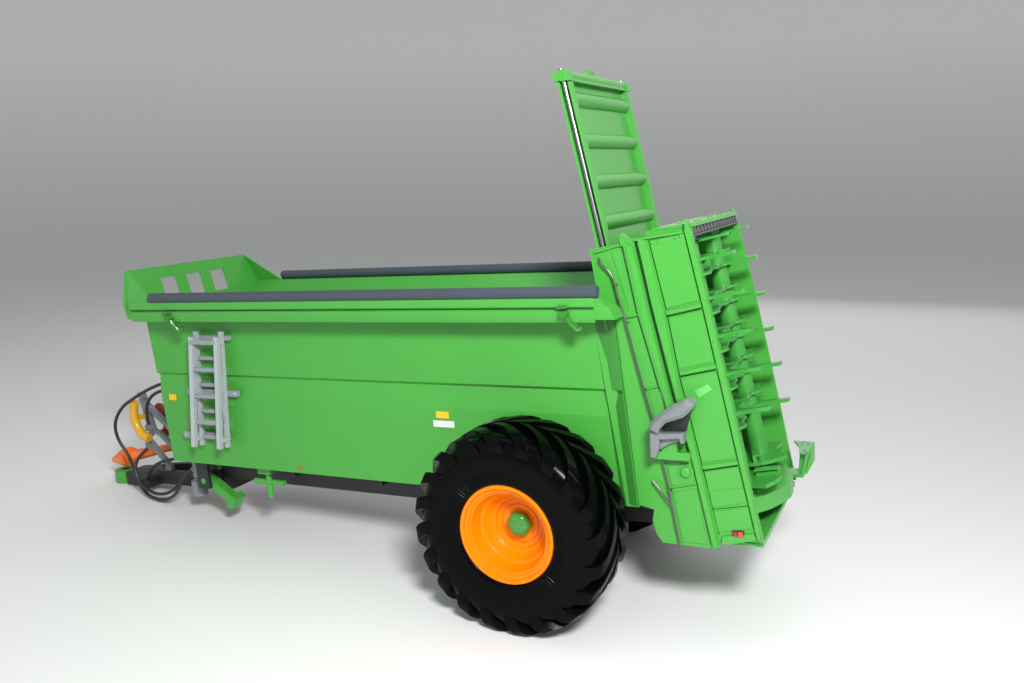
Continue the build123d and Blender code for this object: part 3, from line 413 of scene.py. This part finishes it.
def housing():
    s = Shape()
    base = [(XB(71.1), 71.1), (XB(4.2), 4.2), (-33.9, 3.3), (-33.3, 0.4), (-34.2, -3.2), (-35.8, -5.5), (-50.4, -5.5), (-50.9, -3.0), (XR(-2.6), -2.6), (XR(74.2), 74.2), (-45.3, 77.6), (-44.4, 74.2), (-30.6, 73.4), (-29.2, 74.8), (-28.0, 72.4)]
    s.prism(base, 'y', HI, HY)
    # first hat rib, in two lengths that meet at the fold
    hat(s, [(-28.9, 72.2), (-32.0, 54.7), (-36.6, 36.5), (-37.9, 31.7), (-39.6, 21.0)], [(-32.1, 71.6), (-35.3, 55.3), (-39.2, 37.2), (-40.4, 32.0), (-42.6, 21.0)], HY - 0.2, HY + 1.05, 0.5)
    hat(s, [(-29.9, 71.6), (-32.9, 54.9), (-37.4, 36.9), (-40.2, 22.0)], [(-31.1, 71.3), (-34.4, 55.2), (-38.4, 37.2), (-41.6, 22.0)], HY + 0.9, HY + 1.25, 0.2)
    s.prism([(-28.6, 71.8), (-30.4, 71.4), (-29.1, 74.9), (-28.7, 74.6)], 'y', HI + 0.1, HY + 0.9)
    # second hat rib down to the lower edge
    hat(s, R2L, R2R, HY - 0.2, HY + 1.1, 0.55)
    # rear post
    hat(s, PR, PO, HY - 0.2, HY + 0.95, 0.3)
    s.prism([(-44.9, 74.2), (-46.6, 73.8), (-45.4, 77.6), (-45.0, 77.5)], 'y', HI + 0.1, HY + 0.7)
    # rear panels between the cross bars, with narrow gaps left as seams
    rows = [(72.7, 55.9), (53.6, 40.8), (38.5, 16.9), (14.7, 5.5), (4.5, -1.0)]
    tilt = 0.225
    for zt, zb in rows:
        def corner(line, z, dx, rear):
            x = on_line(line, z)
            zz = z + (tilt * 9.0 if rear else 0.0)
            return (on_line(line, zz) + dx, zz)
        q = [corner(R2R, zt, -0.34, 0), corner(R2R, zb, -0.34, 0), corner(PR, zb, 0.26, 1), corner(PR, zt, 0.26, 1)]
        if zt > 70: q[3] = (on_line(PR, 74.2) + 0.18, 74.2)
        plate4(s, q, HY - 0.1, HY + 0.30, 0.12)


    # raised cross bars, each with a thin dark strip of painted shadow beneath it
    for (x0, z0), (x1, z1) in (((-39.55, 54.85), (-48.3, 56.8)), ((-42.35, 39.75), (-51.45, 41.8)), ((-47.15, 15.85), (-55.95, 17.85))):
        s.strip((x0, z0), (x1, z1), 1.5, HY - 0.1, HY + 0.66, 0.3)
        s.strip((x0 + 0.2, z0 - 0.95), (x1 + 0.2, z1 - 0.95), 0.42, HY - 0.1, HY + 0.05, 0.05, 1)
    s.strip((-48.3, 10.0), (-57.0, 11.5), 0.7, HY + 0.2, HY + 0.42, 0.25)
    # lower lip
    plate4(s, [(-51.0, -1.8), (-51.0, -4.3), (-60.2, -1.9), (-59.5, -0.1)], HY - 0.2, HY + 0.55, 0.3)
    # joints between the pressings, drawn as thin dark strips of painted shade
    def joint(pts, w=0.42, h=0.05):
        for a, b in zip(pts, pts[1:]): s.strip(a, b, w * 0.66, HY - 0.1, HY + h, 0.05, 1)
    joint([(p[0] - 0.16, p[1]) for p in R2R[:-1]] + [(-50.6, -1.6)], 0.50)
    joint([(p[0] + 0.10, p[1]) for p in PR], 0.34)
    joint([(-28.6, 71.9), (-31.75, 54.7), (-36.35, 36.5), (-37.65, 31.7), (-39.3, 21.0)], 0.40)
    joint([(-32.35, 73.0), (-35.5, 56.3), (-39.45, 37.6), (-43.5, 19.6)], 0.46, 0.5)
    joint([(-48.9, 4.9), (-58.5, 6.9)]); joint([(-36.0, 72.9), (-44.7, 74.35)], 0.34)
    joint([(-28.8, 53.3), (-32.0, 54.0)], 0.36); joint([(-33.0, 34.9), (-36.3, 35.9)], 0.36)
    joint([(-37.0, 16.0), (-44.2, 17.5)], 0.36); joint([(-38.4, 9.4), (-45.6, 11.1)], 0.36)
    joint([(-44.3, 17.2), (-48.3, -4.6)], 0.36)
    # middle field between the ribs and the front edge: shallow pressed panels
    for q in ([(-25.9, 70.3), (-30.2, 55.0), (-31.2, 55.2), (-28.2, 70.8)],
              [(-33.9, 34.6), (-36.5, 18.0), (-39.4, 18.6), (-37.3, 35.4)],
              [(-37.8, 15.6), (-38.9, 10.2), (-45.0, 11.5), (-44.0, 16.9)],
              [(-39.1, 8.7), (-41.0, -4.6), (-47.7, -4.6), (-45.3, 10.3)]):
        plate4(s, q, HY - 0.1, HY + 0.25, 0.2)
    s.strip((-29.2, 53.8), (-32.2, 54.5), 0.7, HY - 0.1, HY + 0.4, 0.2)
    s.strip((-33.3, 35.3), (-36.5, 36.3), 0.7, HY - 0.1, HY + 0.4, 0.2)
    # front edge flange and the rolled top edge
    hat(s, [(-20.2, 70.9), (-21.4, 62.0), (-23.3, 50.8)], [(-21.2, 70.9), (-22.5, 62.0), (-24.5, 50.8)], HY - 0.2, HY + 0.9, 0.25)
    s.strip((-21.2, 70.3), (-28.3, 72.0), 0.9, HY - 0.1, HY + 0.7, 0.25)
    s.strip((-32.0, 73.1), (-44.4, 74.5), 0.9, HY - 0.1, HY + 0.6, 0.2)
    # hinge boss with its ring
    s.lathe((-42.7, HY, 14.3), (-42.7, HY + 1, 14.3), [(-0.1, 2.15), (0.45, 2.1), (0.5, 1.75), (0.32, 1.7), (0.32, 1.35), (0.9, 1.25), (1.1, 0.9), (1.15, 0.2)], 36)
    for x, z in ((-36.7, 72.2), (-38.3, 72.4), (-42.5, 73.3), (-43.8, 73.6)): dome(s, x, HY + 0.25, z, 0.42)
    for t in range(9):
        x, z = lerp((-22.4, 69.2), (-29.6, 54.6), t / 8); 
        if t in (0, 4, 8): dome(s, x, HY, z, 0.3)
    for z in (66.0, 48.0, 29.0, 13.0, 3.0):
        dome(s, on_line(PR, z) * 0.5 + on_line(PO, z) * 0.5, HY + 0.9, z, 0.28, 0.25)
    return s


H = housing()
piece("housing_left_detail", H, "body", [GREEN, JOINT_PAINTED_SHADE], replaces="beater_housing_left", bevel=0.12, angle=24)
piece("housing_right_detail", H.mirrored(), "body", [GREEN, JOINT_PAINTED_SHADE], replaces="beater_housing_right", bevel=0.12, angle=24)

# slanting closing strip between the hopper wall and the housing, in a darker green that is painted shade
band = Shape()
secs = []
for z in (4.3, 27.6, 34.1, 35.0, 53.4):
    xa_, xb_ = -25.55 + 0.102 * z, -30.3 + 0.080 * z
    yw = 24.5 if z <= 27.6 else (23.5 if z < 34.5 else 24.7 + 0.4 * (z - 35.0) / 19.4)
    secs.append([(xa_, yw + 0.02, z), (xb_ + 0.25, 25.7, z), (xb_, 25.6, z), (xb_, 24.6, z), (xb_ + 0.8, 23.3, z), (xa_, 23.3, z)])
band.loft(secs)
piece("corner_band_left", band, "body", GREEN_PAINTED_SHADE, bevel=0.1)
piece("corner_band_right", band.mirrored(), "body", GREEN_PAINTED_SHADE, bevel=0.1)


# ------------------------------------------------------------------ smooth bent wire
def smooth(pts, k=6):
    pts = [Vector(p) for p in pts]; out = []
    P_ = [pts[0] * 2 - pts[1]] + pts + [pts[-1] * 2 - pts[-2]]
    for i in range(1, len(P_) - 2):
        a, b, c, d = P_[i - 1:i + 3]
        for j in range(k):
            t = j / k
            out.append(0.5 * ((2 * b) + (c - a) * t + (2 * a - 5 * b + 4 * c - d) * t * t + (3 * b - a - 3 * c + d) * t ** 3))
    out.append(pts[-1])
    return out


pipe = Shape()
pipe.tube(smooth([(-22.8, 25.6, 69.0), (-23.6, 26.1, 67.6), (-26.2, 26.2, 64.6), (-27.6, 26.2, 59.0), (-29.0, 26.1, 53.8), (-31.0, 26.1, 44.8), (-33.1, 26.1, 35.5), (-34.8, 26.0, 28.2), (-37.0, 26.0, 17.0), (-38.5, 26.0, 9.9), (-39.0, 25.9, 5.3), (-40.8, 25.9, -5.6)]), 0.27, 10)
pipe.tube(smooth([(-34.2, 26.0, 11.7), (-36.6, 26.3, 8.9), (-38.2, 26.2, 6.5), (-39.0, 25.9, 5.3)]), 0.26, 10)
for x, z in ((-26.9, 62.2), (-29.3, 52.6), (-33.1, 35.5), (-36.3, 20.8), (-38.6, 9.2)):
    pipe.prism([(x - 0.42, z - 0.2), (x + 0.42, z - 0.14), (x + 0.42, z + 0.2), (x - 0.42, z + 0.14)], 'y', 24.7, 26.2)
piece("side_pipe", pipe, "body", STEEL, bevel=0.08)

# ------------------------------------------------------------------ wheel chock: a hollow wedge on its holder
ck = Shape()


def slab_c(s, pts, y0, y1, c=0.45, mat=0):
    """prism with its outer edge chamfered"""
    cx, cz = sum(p[0] for p in pts) / len(pts), sum(p[1] for p in pts) / len(pts)
    n = len(pts); ins = []
    for i in range(n):
        a, b, d = pts[i - 1], pts[i], pts[(i + 1) % n]
        u = Vector((b[0] - a[0], b[1] - a[1])).normalized(); w = Vector((d[0] - b[0], d[1] - b[1])).normalized()
        nn = Vector((-(u.y + w.y), u.x + w.x)); nn.normalize()
        k = c / max(0.45, abs(nn.dot(Vector((-u.y, u.x)))))
        ins.append((b[0] + nn.x * k, b[1] + nn.y * k))
    area_ = sum(p[0] * q[1] - q[0] * p[1] for p, q in zip(pts, pts[1:] + pts[:1]))
    if area_ < 0: ins = [(2 * p[0] - q[0], 2 * p[1] - q[1]) for p, q in zip(pts, ins)]
    lv = [[(p[0], y0, p[1]) for p in pts], [(p[0], y1 - c, p[1]) for p in pts], [(p[0], y1, p[1]) for p in ins]]
    return s.loft(lv, mat)


slab_c(ck, [(-35.3, 26.2), (-36.0, 28.6), (-39.4, 31.6), (-42.2, 33.4), (-45.1, 34.9), (-47.4, 33.7), (-45.8, 31.4), (-44.5, 30.2), (-42.1, 29.3), (-40.0, 28.6), (-38.3, 27.0), (-37.9, 25.6)], 27.5, 32.0, 0.9)
slab_c(ck, [(-35.1, 19.1), (-35.3, 26.4), (-37.9, 25.8), (-37.9, 22.6), (-37.3, 20.9), (-36.7, 19.0)], 27.5, 30.6, 0.4)
slab_c(ck, [(-37.2, 20.7), (-37.7, 25.0), (-43.9, 25.6), (-44.2, 23.4), (-41.8, 23.2), (-40.0, 22.5)], 27.5, 28.9, 0.3)
ck.prism([(-37.4, 24.0), (-37.6, 25.6), (-43.9, 26.0), (-44.2, 23.4), (-43.3, 23.3), (-43.0, 24.6)], 'y', 28.5, 30.6)
# the web inside the hollow is black: painted shade of the hollow
ck.prism([(-37.4, 24.0), (-37.6, 27.6), (-40.0, 28.9), (-44.6, 30.6), (-45.6, 31.3), (-44.2, 26.0)], 'y', 27.42, 27.8, 1)
dome(ck, -38.8, 28.3, 24.3, 0.75, 0.9)
piece("chock_detail", ck, "body", [CHOCK, DARK], replaces="wheel_chock", bevel=0.16)

# ------------------------------------------------------------------ reflectors, blank plates and small fittings
lamp = Shape()
lamp.box(-56.95, -53.95, 24.9, 25.35, -1.45, 0.15, 0)
lamp.prism([(-56.75, -1.28), (-55.5, -1.28), (-55.5, -0.02), (-56.75, -0.02)], 'y', 25.3, 25.75, 1)
lamp.prism([(-55.4, -1.28), (-54.15, -1.28), (-54.15, -0.02), (-55.4, -0.02)], 'y', 25.3, 25.68, 2)
piece("lamp_left_detail", lamp, "body", [DARK, LAMP, LAMP_R], replaces="lamp_left", bevel=0.12)
piece("lamp_right_detail", lamp.mirrored(), "body", [DARK, LAMP, LAMP_R], replaces="lamp_right", bevel=0.12)


def thin_plate(name, x0, x1, z0, z1, y, mat, t=0.14, slant=0.0, both_sides=True, frame_mat=None):
    s = Shape()
    q = [(x0, z0), (x1, z0 + slant), (x1, z1 + slant), (x0, z1)]
    plate4(s, q, y - 0.06, y + t, 0.08, 0)
    m = [mat]
    piece(name + "_left", s, "body", m, bevel=0.04)
    if both_sides: piece(name + "_right", s.mirrored(), "body", m, bevel=0.04)


thin_plate("plate_yellow", 25.8, 30.1, 24.5, 26.5, 24.5, PLATE_Y)
thin_plate("plate_white", 24.2, 31.2, 21.85, 23.8, 24.5, PLATE_W)
pp = Shape()
plate4(pp, [(-45.76, 35.46), (-49.09, 37.24), (-50.27, 36.05), (-46.85, 33.68)][::-1], 24.99, 25.19, 0.08, 0)
piece("plate_pale_left", pp, "body", [DECAL], bevel=0.04)
piece("plate_pale_right", pp.mirrored(), "body", [DECAL], bevel=0.04)
# red air line, a short arc on the hose rack
al = Shape()
al.tube(smooth([(169.0, 1.0, 14.9), (167.4, 1.0, 14.5), (166.1, 1.0, 12.9), (165.5, 1.0, 10.6), (165.6, 1.0, 8.2), (166.5, 1.0, 6.3), (167.8, 1.0, 5.2)], 5), 1.75, 20)
al.box(165.7, 167.1, 1.6, 3.3, 12.3, 13.7)
for x, z in ((169.0, 14.9), (167.8, 5.2)):
    al.lathe((x, 1.0, z), (x + 0.9, 1.0, z + (0.14 if z > 10 else -0.42)), [(-0.5, 1.95), (0.7, 1.95), (1.0, 1.7)], 20)
piece("air_line_red_arc", al, "body", RED, replaces="air_line_red", bevel=0.08)
mark = Shape()
plate4(mark, [(81.6, 5.1), (83.6, 5.1), (83.6, 6.0), (81.6, 6.0)], 24.45, 24.85, 0.1)
plate4(mark, [(126.6, 17.3), (128.6, 17.3), (128.6, 18.4), (126.6, 18.4)], 24.45, 24.9, 0.1)
piece("side_reflector_left", mark, "body", AMBER, bevel=0.1)
piece("side_reflector_right", mark.mirrored(), "body", AMBER, bevel=0.1)
mark = Shape()
mark.box(132.7, 135.7, 24.2, 25.0, 25.4, 27.5)
dome(mark, 134.1, 25.0, 26.5, 0.7, 0.4)
piece("edge_marker_left", mark, "body", PLATE_Y, bevel=0.15)
piece("edge_marker_right", mark.mirrored(), "body", PLATE_Y, bevel=0.15)

# hooks under the rim rail, front and rear, in the darker green that is painted shade
hooks = Shape()
for x, zt_ in ((122.0, 57.0), (-14.9, 58.0)):
    # two latch blocks on the rail, and the catch hanging below its edge
    hooks.prism([(x + 0.9, zt_ + 0.1), (x - 1.5, zt_ + 0.3), (x - 1.9, zt_ - 0.5), (x + 0.9, zt_ - 0.7)], 'y', 32.6, 34.2)
    hooks.prism([(x + 0.2, zt_ - 1.2), (x - 1.9, zt_ - 1.0), (x - 2.3, zt_ - 2.0), (x - 1.5, zt_ - 2.9), (x + 0.3, zt_ - 2.6)], 'y', 32.6, 34.6)
    hooks.tube(smooth([(x - 1.3, 33.4, zt_ - 2.7), (x - 1.9, 33.2, zt_ - 3.9), (x - 2.6, 32.7, zt_ - 5.2), (x - 3.5, 32.2, zt_ - 6.3), (x - 4.2, 31.9, zt_ - 6.1), (x - 4.3, 31.8, zt_ - 5.3)], 5), 0.60, 10)
    hooks.prism([(x - 1.5, zt_ - 3.4), (x - 3.2, zt_ - 3.5), (x - 4.0, zt_ - 5.0), (x - 3.6, zt_ - 6.2), (x - 2.7, zt_ - 6.0)], 'y', 31.5, 32.4)
piece("rail_hooks_left", hooks, "body", GREEN_PAINTED_SHADE, bevel=0.14)
piece("rail_hooks_right", hooks.mirrored(), "body", GREEN_PAINTED_SHADE, bevel=0.14)

# end plugs of the guard tubes
ends = Shape()
for x, d in ((-24.3, -1), (129.5, 1)):
    ends.lathe((x, 32.04, 61.3), (x + d, 32.04, 61.3), [(-0.2, 1.58), (0.12, 1.5), (0.2, 1.2), (0.05, 1.05), (0.05, 0.2)], 28)
piece("guard_tube_ends_left", ends, "body", TUBE)
piece("guard_tube_ends_right", ends.mirrored(), "body", TUBE)

# tilted lower flange, upper band and a fold line along the rim rail
trim = Shape()
trim.prism([(32.5, 56.9), (33.05, 56.8), (33.1, 56.6), (32.55, 53.9), (32.35, 53.6), (32.2, 53.9)], 'x', -23.6, 138.9)
trim.prism([(32.3, 59.9), (32.6, 60.05), (32.95, 59.4), (32.95, 57.7), (32.5, 57.6)], 'x', -23.6, 138.9)
# dark line along the rail's fold: painted shade
trim.strip((-23.4, 57.25), (138.9, 57.25), 0.5, 32.5, 32.62, 0.05, 1)
piece("rail_trim_left", trim, "body", [GREEN, JOINT_PAINTED_SHADE], bevel=0.05)
piece("rail_trim_right", trim.mirrored(), "body", [GREEN, JOINT_PAINTED_SHADE], bevel=0.05)

# ------------------------------------------------------------------ ladder: two nested sections; rungs and wall brackets in a darker grey than the rails, a painted shade of their recess
lad = Shape()
for xt, xb_ in ((117.0, 121.0), (106.2, 109.8)):
    lad.bar((xt, 27.0, 49.7), (xb_ - 0.1, 27.0, 11.2), 1.3, 1.3)
    lad.bar((xt, 29.1, 48.3), (xb_, 30.3, 11.6), 1.6, 1.5)
LX = lambda z: 106.2 + (49.7 - z) * 0.095
for i in range(4):
    for z, y0_, y1_, m_ in ((40.9 - 8.85 * i, 26.5, 27.6, 1), (46.5 - 8.85 * i, 28.5, 30.1, 0)):
        lad.box(LX(z), LX(z) + 11.2, y0_, y1_, z - 0.6, z + 0.6, 1)
        if m_ == 0: lad.box(LX(z) + 0.4, LX(z) + 10.8, y0_ + 0.2, y1_ - 0.2, z + 0.55, z + 0.72, 0)
for q in ((103.2, 124.9, 25.2, 26.6, 28.2, 30.2), (109.4, 129.2, 25.2, 26.8, 13.2, 15.4), (104.0, 118.6, 25.0, 26.6, 46.6, 48.2), (112.0, 116.0, 24.3, 26.0, 28.4, 30.0), (112.0, 118.0, 24.3, 26.0, 13.4, 15.2)):
    lad.box(*q, 1)
for x0, x1 in ((116.4, 117.8), (105.6, 107.0)):
    lad.box(x0, x1, 26.8, 29.0, 45.4, 47.4)
for x0, x1 in ((119.9, 121.3), (108.6, 110.0)):
    lad.box(x0, x1, 26.6, 29.8, 13.4, 15.0)
for x, z in ((104.2, 29.2), (123.8, 29.2), (110.6, 14.3), (128.0, 14.3)):
    dome(lad, x, 26.6, z, 0.5, 0.4, 0)
piece("ladder_detail", lad, "body", [SILVER, RUNG_PAINTED_SHADE], replaces="ladder", bevel=0.16)

# ------------------------------------------------------------------ top of the housing: thin cover plate over a slotted strip
tb = Shape()
tb.prism([(-36.2, 74.9), (-36.2, 75.6), (-46.6, 76.6), (-46.8, 75.6)], 'y', -HI, HI)
tb.prism([(-45.3, 75.6), (-45.8, 75.6), (-46.3, 73.3), (-45.8, 73.3)], 'y', -HI, HI, 2)
for i in range(15):
    y = -22.0 + i * 44.0 / 14
    tb.prism([(-45.8, 75.6), (-46.6, 75.6), (-47.0, 73.9), (-46.2, 73.9)], 'y', y - 0.45, y + 0.45, 1)
tb.prism([(-46.1, 73.8), (-47.0, 73.8), (-47.05, 73.3), (-46.15, 73.3)], 'y', -HI, HI, 1)
for sg in (1, -1):
    tb.prism([(-34.5, 71.8), (-34.5, 75.0), (-46.2, 75.8), (-46.6, 71.8)], 'y', min(sg * 22.6, sg * HI), max(sg * 22.6, sg * HI))
for y in (-21.0, -13.5, -10.3, 0.0, 10.3, 13.5, 21.0):
    tb.lathe((-44.6, y, 76.4), (-44.6, y, 77.4), [(-0.2, 0.62), (0.2, 0.62), (0.34, 0.48)], 6)
for sg in (1, -1):
    tb.lathe((-40.8, sg * 11.9, 75.9), (-40.8 + LEAN, sg * 11.9, 76.9), [(-0.3, 1.9), (0.25, 1.85), (0.4, 1.6), (0.42, 0.9), (0.3, 0.8)], 28)
piece("housing_top_detail", tb, "body", [GREEN, RUNG_D, DARK], replaces="housing_top_beam", bevel=0.12)

# the jack bracket is made black in place of its own slot colour: painted shade beneath the hopper
for n in ("jack_bracket",): NODES[n].data.materials[0] = DARK

# cover plate of the spreading deck's deflector
gp = Shape()
gp.prism([(-62.4, -16.4), (-64.6, -11.2), (-65.6, -5.2), (-66.6, -4.6), (-67.6, -6.8), (-67.9, -10.6), (-67.9, -16.4)], 'z', 11.2, 11.7)
gp.prism([(-64.7, 4.2), (-65.4, 4.2), (-66.6, 11.3), (-65.4, 11.3)], 'y', -8.4, -7.6)
gp.prism([(-60.6, 5.0), (-65.9, 5.0), (-66.2, 4.1), (-60.0, 4.1)], 'y', -12.0, -6.8)
gp.prism([(-66.9, 11.3), (-67.7, 11.3), (-66.6, 5.2), (-65.9, 4.3), (-65.6, 5.0)], 'y', -12.0, -6.8)
for x, y in ((-66.6, -7.4), (-66.8, -13.8), (-64.9, -14.6)): gp.lathe((x, y, 11.5), (x, y, 12.5), [(0.0, 0.45), (0.3, 0.42), (0.42, 0.3)], 12)
piece("deck_deflector_cover", gp, "body", GREEN_D, bevel=0.1)

# folded joints that close the hopper's corners, inside
seam = Shape()
XF = lambda z: 138.1 + 0.0625 * (z - 3.7)
seam.prism([(21.8, 4.6), (21.8, 5.55), (22.3, 5.9), (22.9, 6.5), (23.45, 7.3), (23.45, 4.0), (22.0, 4.0)], 'x', -22.0, XF(5.0) - 0.3)
secs = []
for z, yi in ((4.2, 23.3), (27.4, 23.3), (34.4, 22.3), (35.6, 23.4), (54.199999999999996, 23.85)):
    secs.append([(XF(z) - 0.2, 21.6, z), (XF(z) - 0.2, yi + 0.4, z), (XF(z) - 3.4000000000000004, yi + 0.4, z), (XF(z) - 3.0, yi - 0.1, z), (XF(z) - 1.7, 22.0, z), (XF(z) - 1.4, 21.6, z)])
seam.loft(secs)
piece("hopper_seam_left", seam, "body", GREEN, bevel=0.05)
piece("hopper_seam_right", seam.mirrored(), "body", GREEN, bevel=0.05)

# ------------------------------------------------------------------ stage
def sweep_bowl(r0, rc, h, n=96, k=14):
    prof = [(0.0, 0.0), (r0 * 0.5, 0.0), (r0, 0.0)] + [(r0 + rc * math.sin(math.pi / 2 * i / k), rc - rc * math.cos(math.pi / 2 * i / k)) for i in range(1, k + 1)] + [(r0 + rc, h)]
    v = [(0, 0, 0)]; f = []
    for r, z in prof[1:]: v += [(r * math.cos(2 * math.pi * j / n), r * math.sin(2 * math.pi * j / n), z) for j in range(n)]
    f += [(0, 1 + j, 1 + (j + 1) % n) for j in range(n)]
    for i in range(len(prof) - 2):
        a, b = 1 + i * n, 1 + (i + 1) * n
        f += [(a + j, b + j, b + (j + 1) % n, a + (j + 1) % n) for j in range(n)]
    return v, f


me = bpy.data.meshes.new("floor"); me.from_pydata(*[sweep_bowl(1.3, 0.7, 1.5)[0], [], sweep_bowl(1.3, 0.7, 1.5)[1]])
for p in me.polygons: p.use_smooth = True
floor = bpy.data.objects.new("floor", me); bpy.context.scene.collection.objects.link(floor)
fm, nt, b = new_mat("floor_pale"); b.inputs["Base Color"].default_value = (0.80, 0.80, 0.79, 1); b.inputs["Roughness"].default_value = 0.7
tc = nt.nodes.new("ShaderNodeTexCoord"); sx = nt.nodes.new("ShaderNodeSeparateXYZ"); mr = nt.nodes.new("ShaderNodeMapRange")
nt.links.new(tc.outputs["Generated"], sx.inputs[0]); nt.links.new(sx.outputs["Z"], mr.inputs["Value"])
mr.inputs["From Min"].default_value = 0.0; mr.inputs["From Max"].default_value = 0.25; mr.inputs["To Min"].default_value = 0.0; mr.inputs["To Max"].default_value = 0.17
b.inputs["Emission Color"].default_value = (0.80, 0.80, 0.79, 1); nt.links.new(mr.outputs["Result"], b.inputs["Emission Strength"])
me.materials.append(fm)
w = bpy.data.worlds.new("world"); bpy.context.scene.world = w; w.use_nodes = True
w.node_tree.nodes["Background"].inputs[0].default_value = (0.78, 0.80, 0.83, 1); w.node_tree.nodes["Background"].inputs[1].default_value = 0.36


def area(name, loc, target, size, watts, col=(1, 1, 1)):
    ld = bpy.data.lights.new(name, 'AREA'); ld.shape = 'RECTANGLE'; ld.size = size[0]; ld.size_y = size[1]; ld.energy = watts; ld.color = col
    o = bpy.data.objects.new(name, ld); bpy.context.scene.collection.objects.link(o)
    o.location = loc; o.rotation_euler = (Vector(target) - Vector(loc)).to_track_quat('-Z', 'Y').to_euler()
    return o


tgt = (-0.05, 0, 0.05)
area("key", tuple(row((-165, 240, 200))), tuple(row((-15, 10, 38))), (0.06, 0.05), 1.50)
area("fill", tuple(row((330, 300, 160))), tuple(row((60, 10, 20))), (0.5, 0.4), 0.30)
area("top", tuple(row((20, -60, 520))), tuple(row((20, 0, 0))), (0.5, 0.4), 0.50)
area("far_side", tuple(row((60, -480, 220))), tuple(row((30, 0, 25))), (0.6, 0.4), 0.45)
bpy.context.scene.view_settings.view_transform = 'Standard'
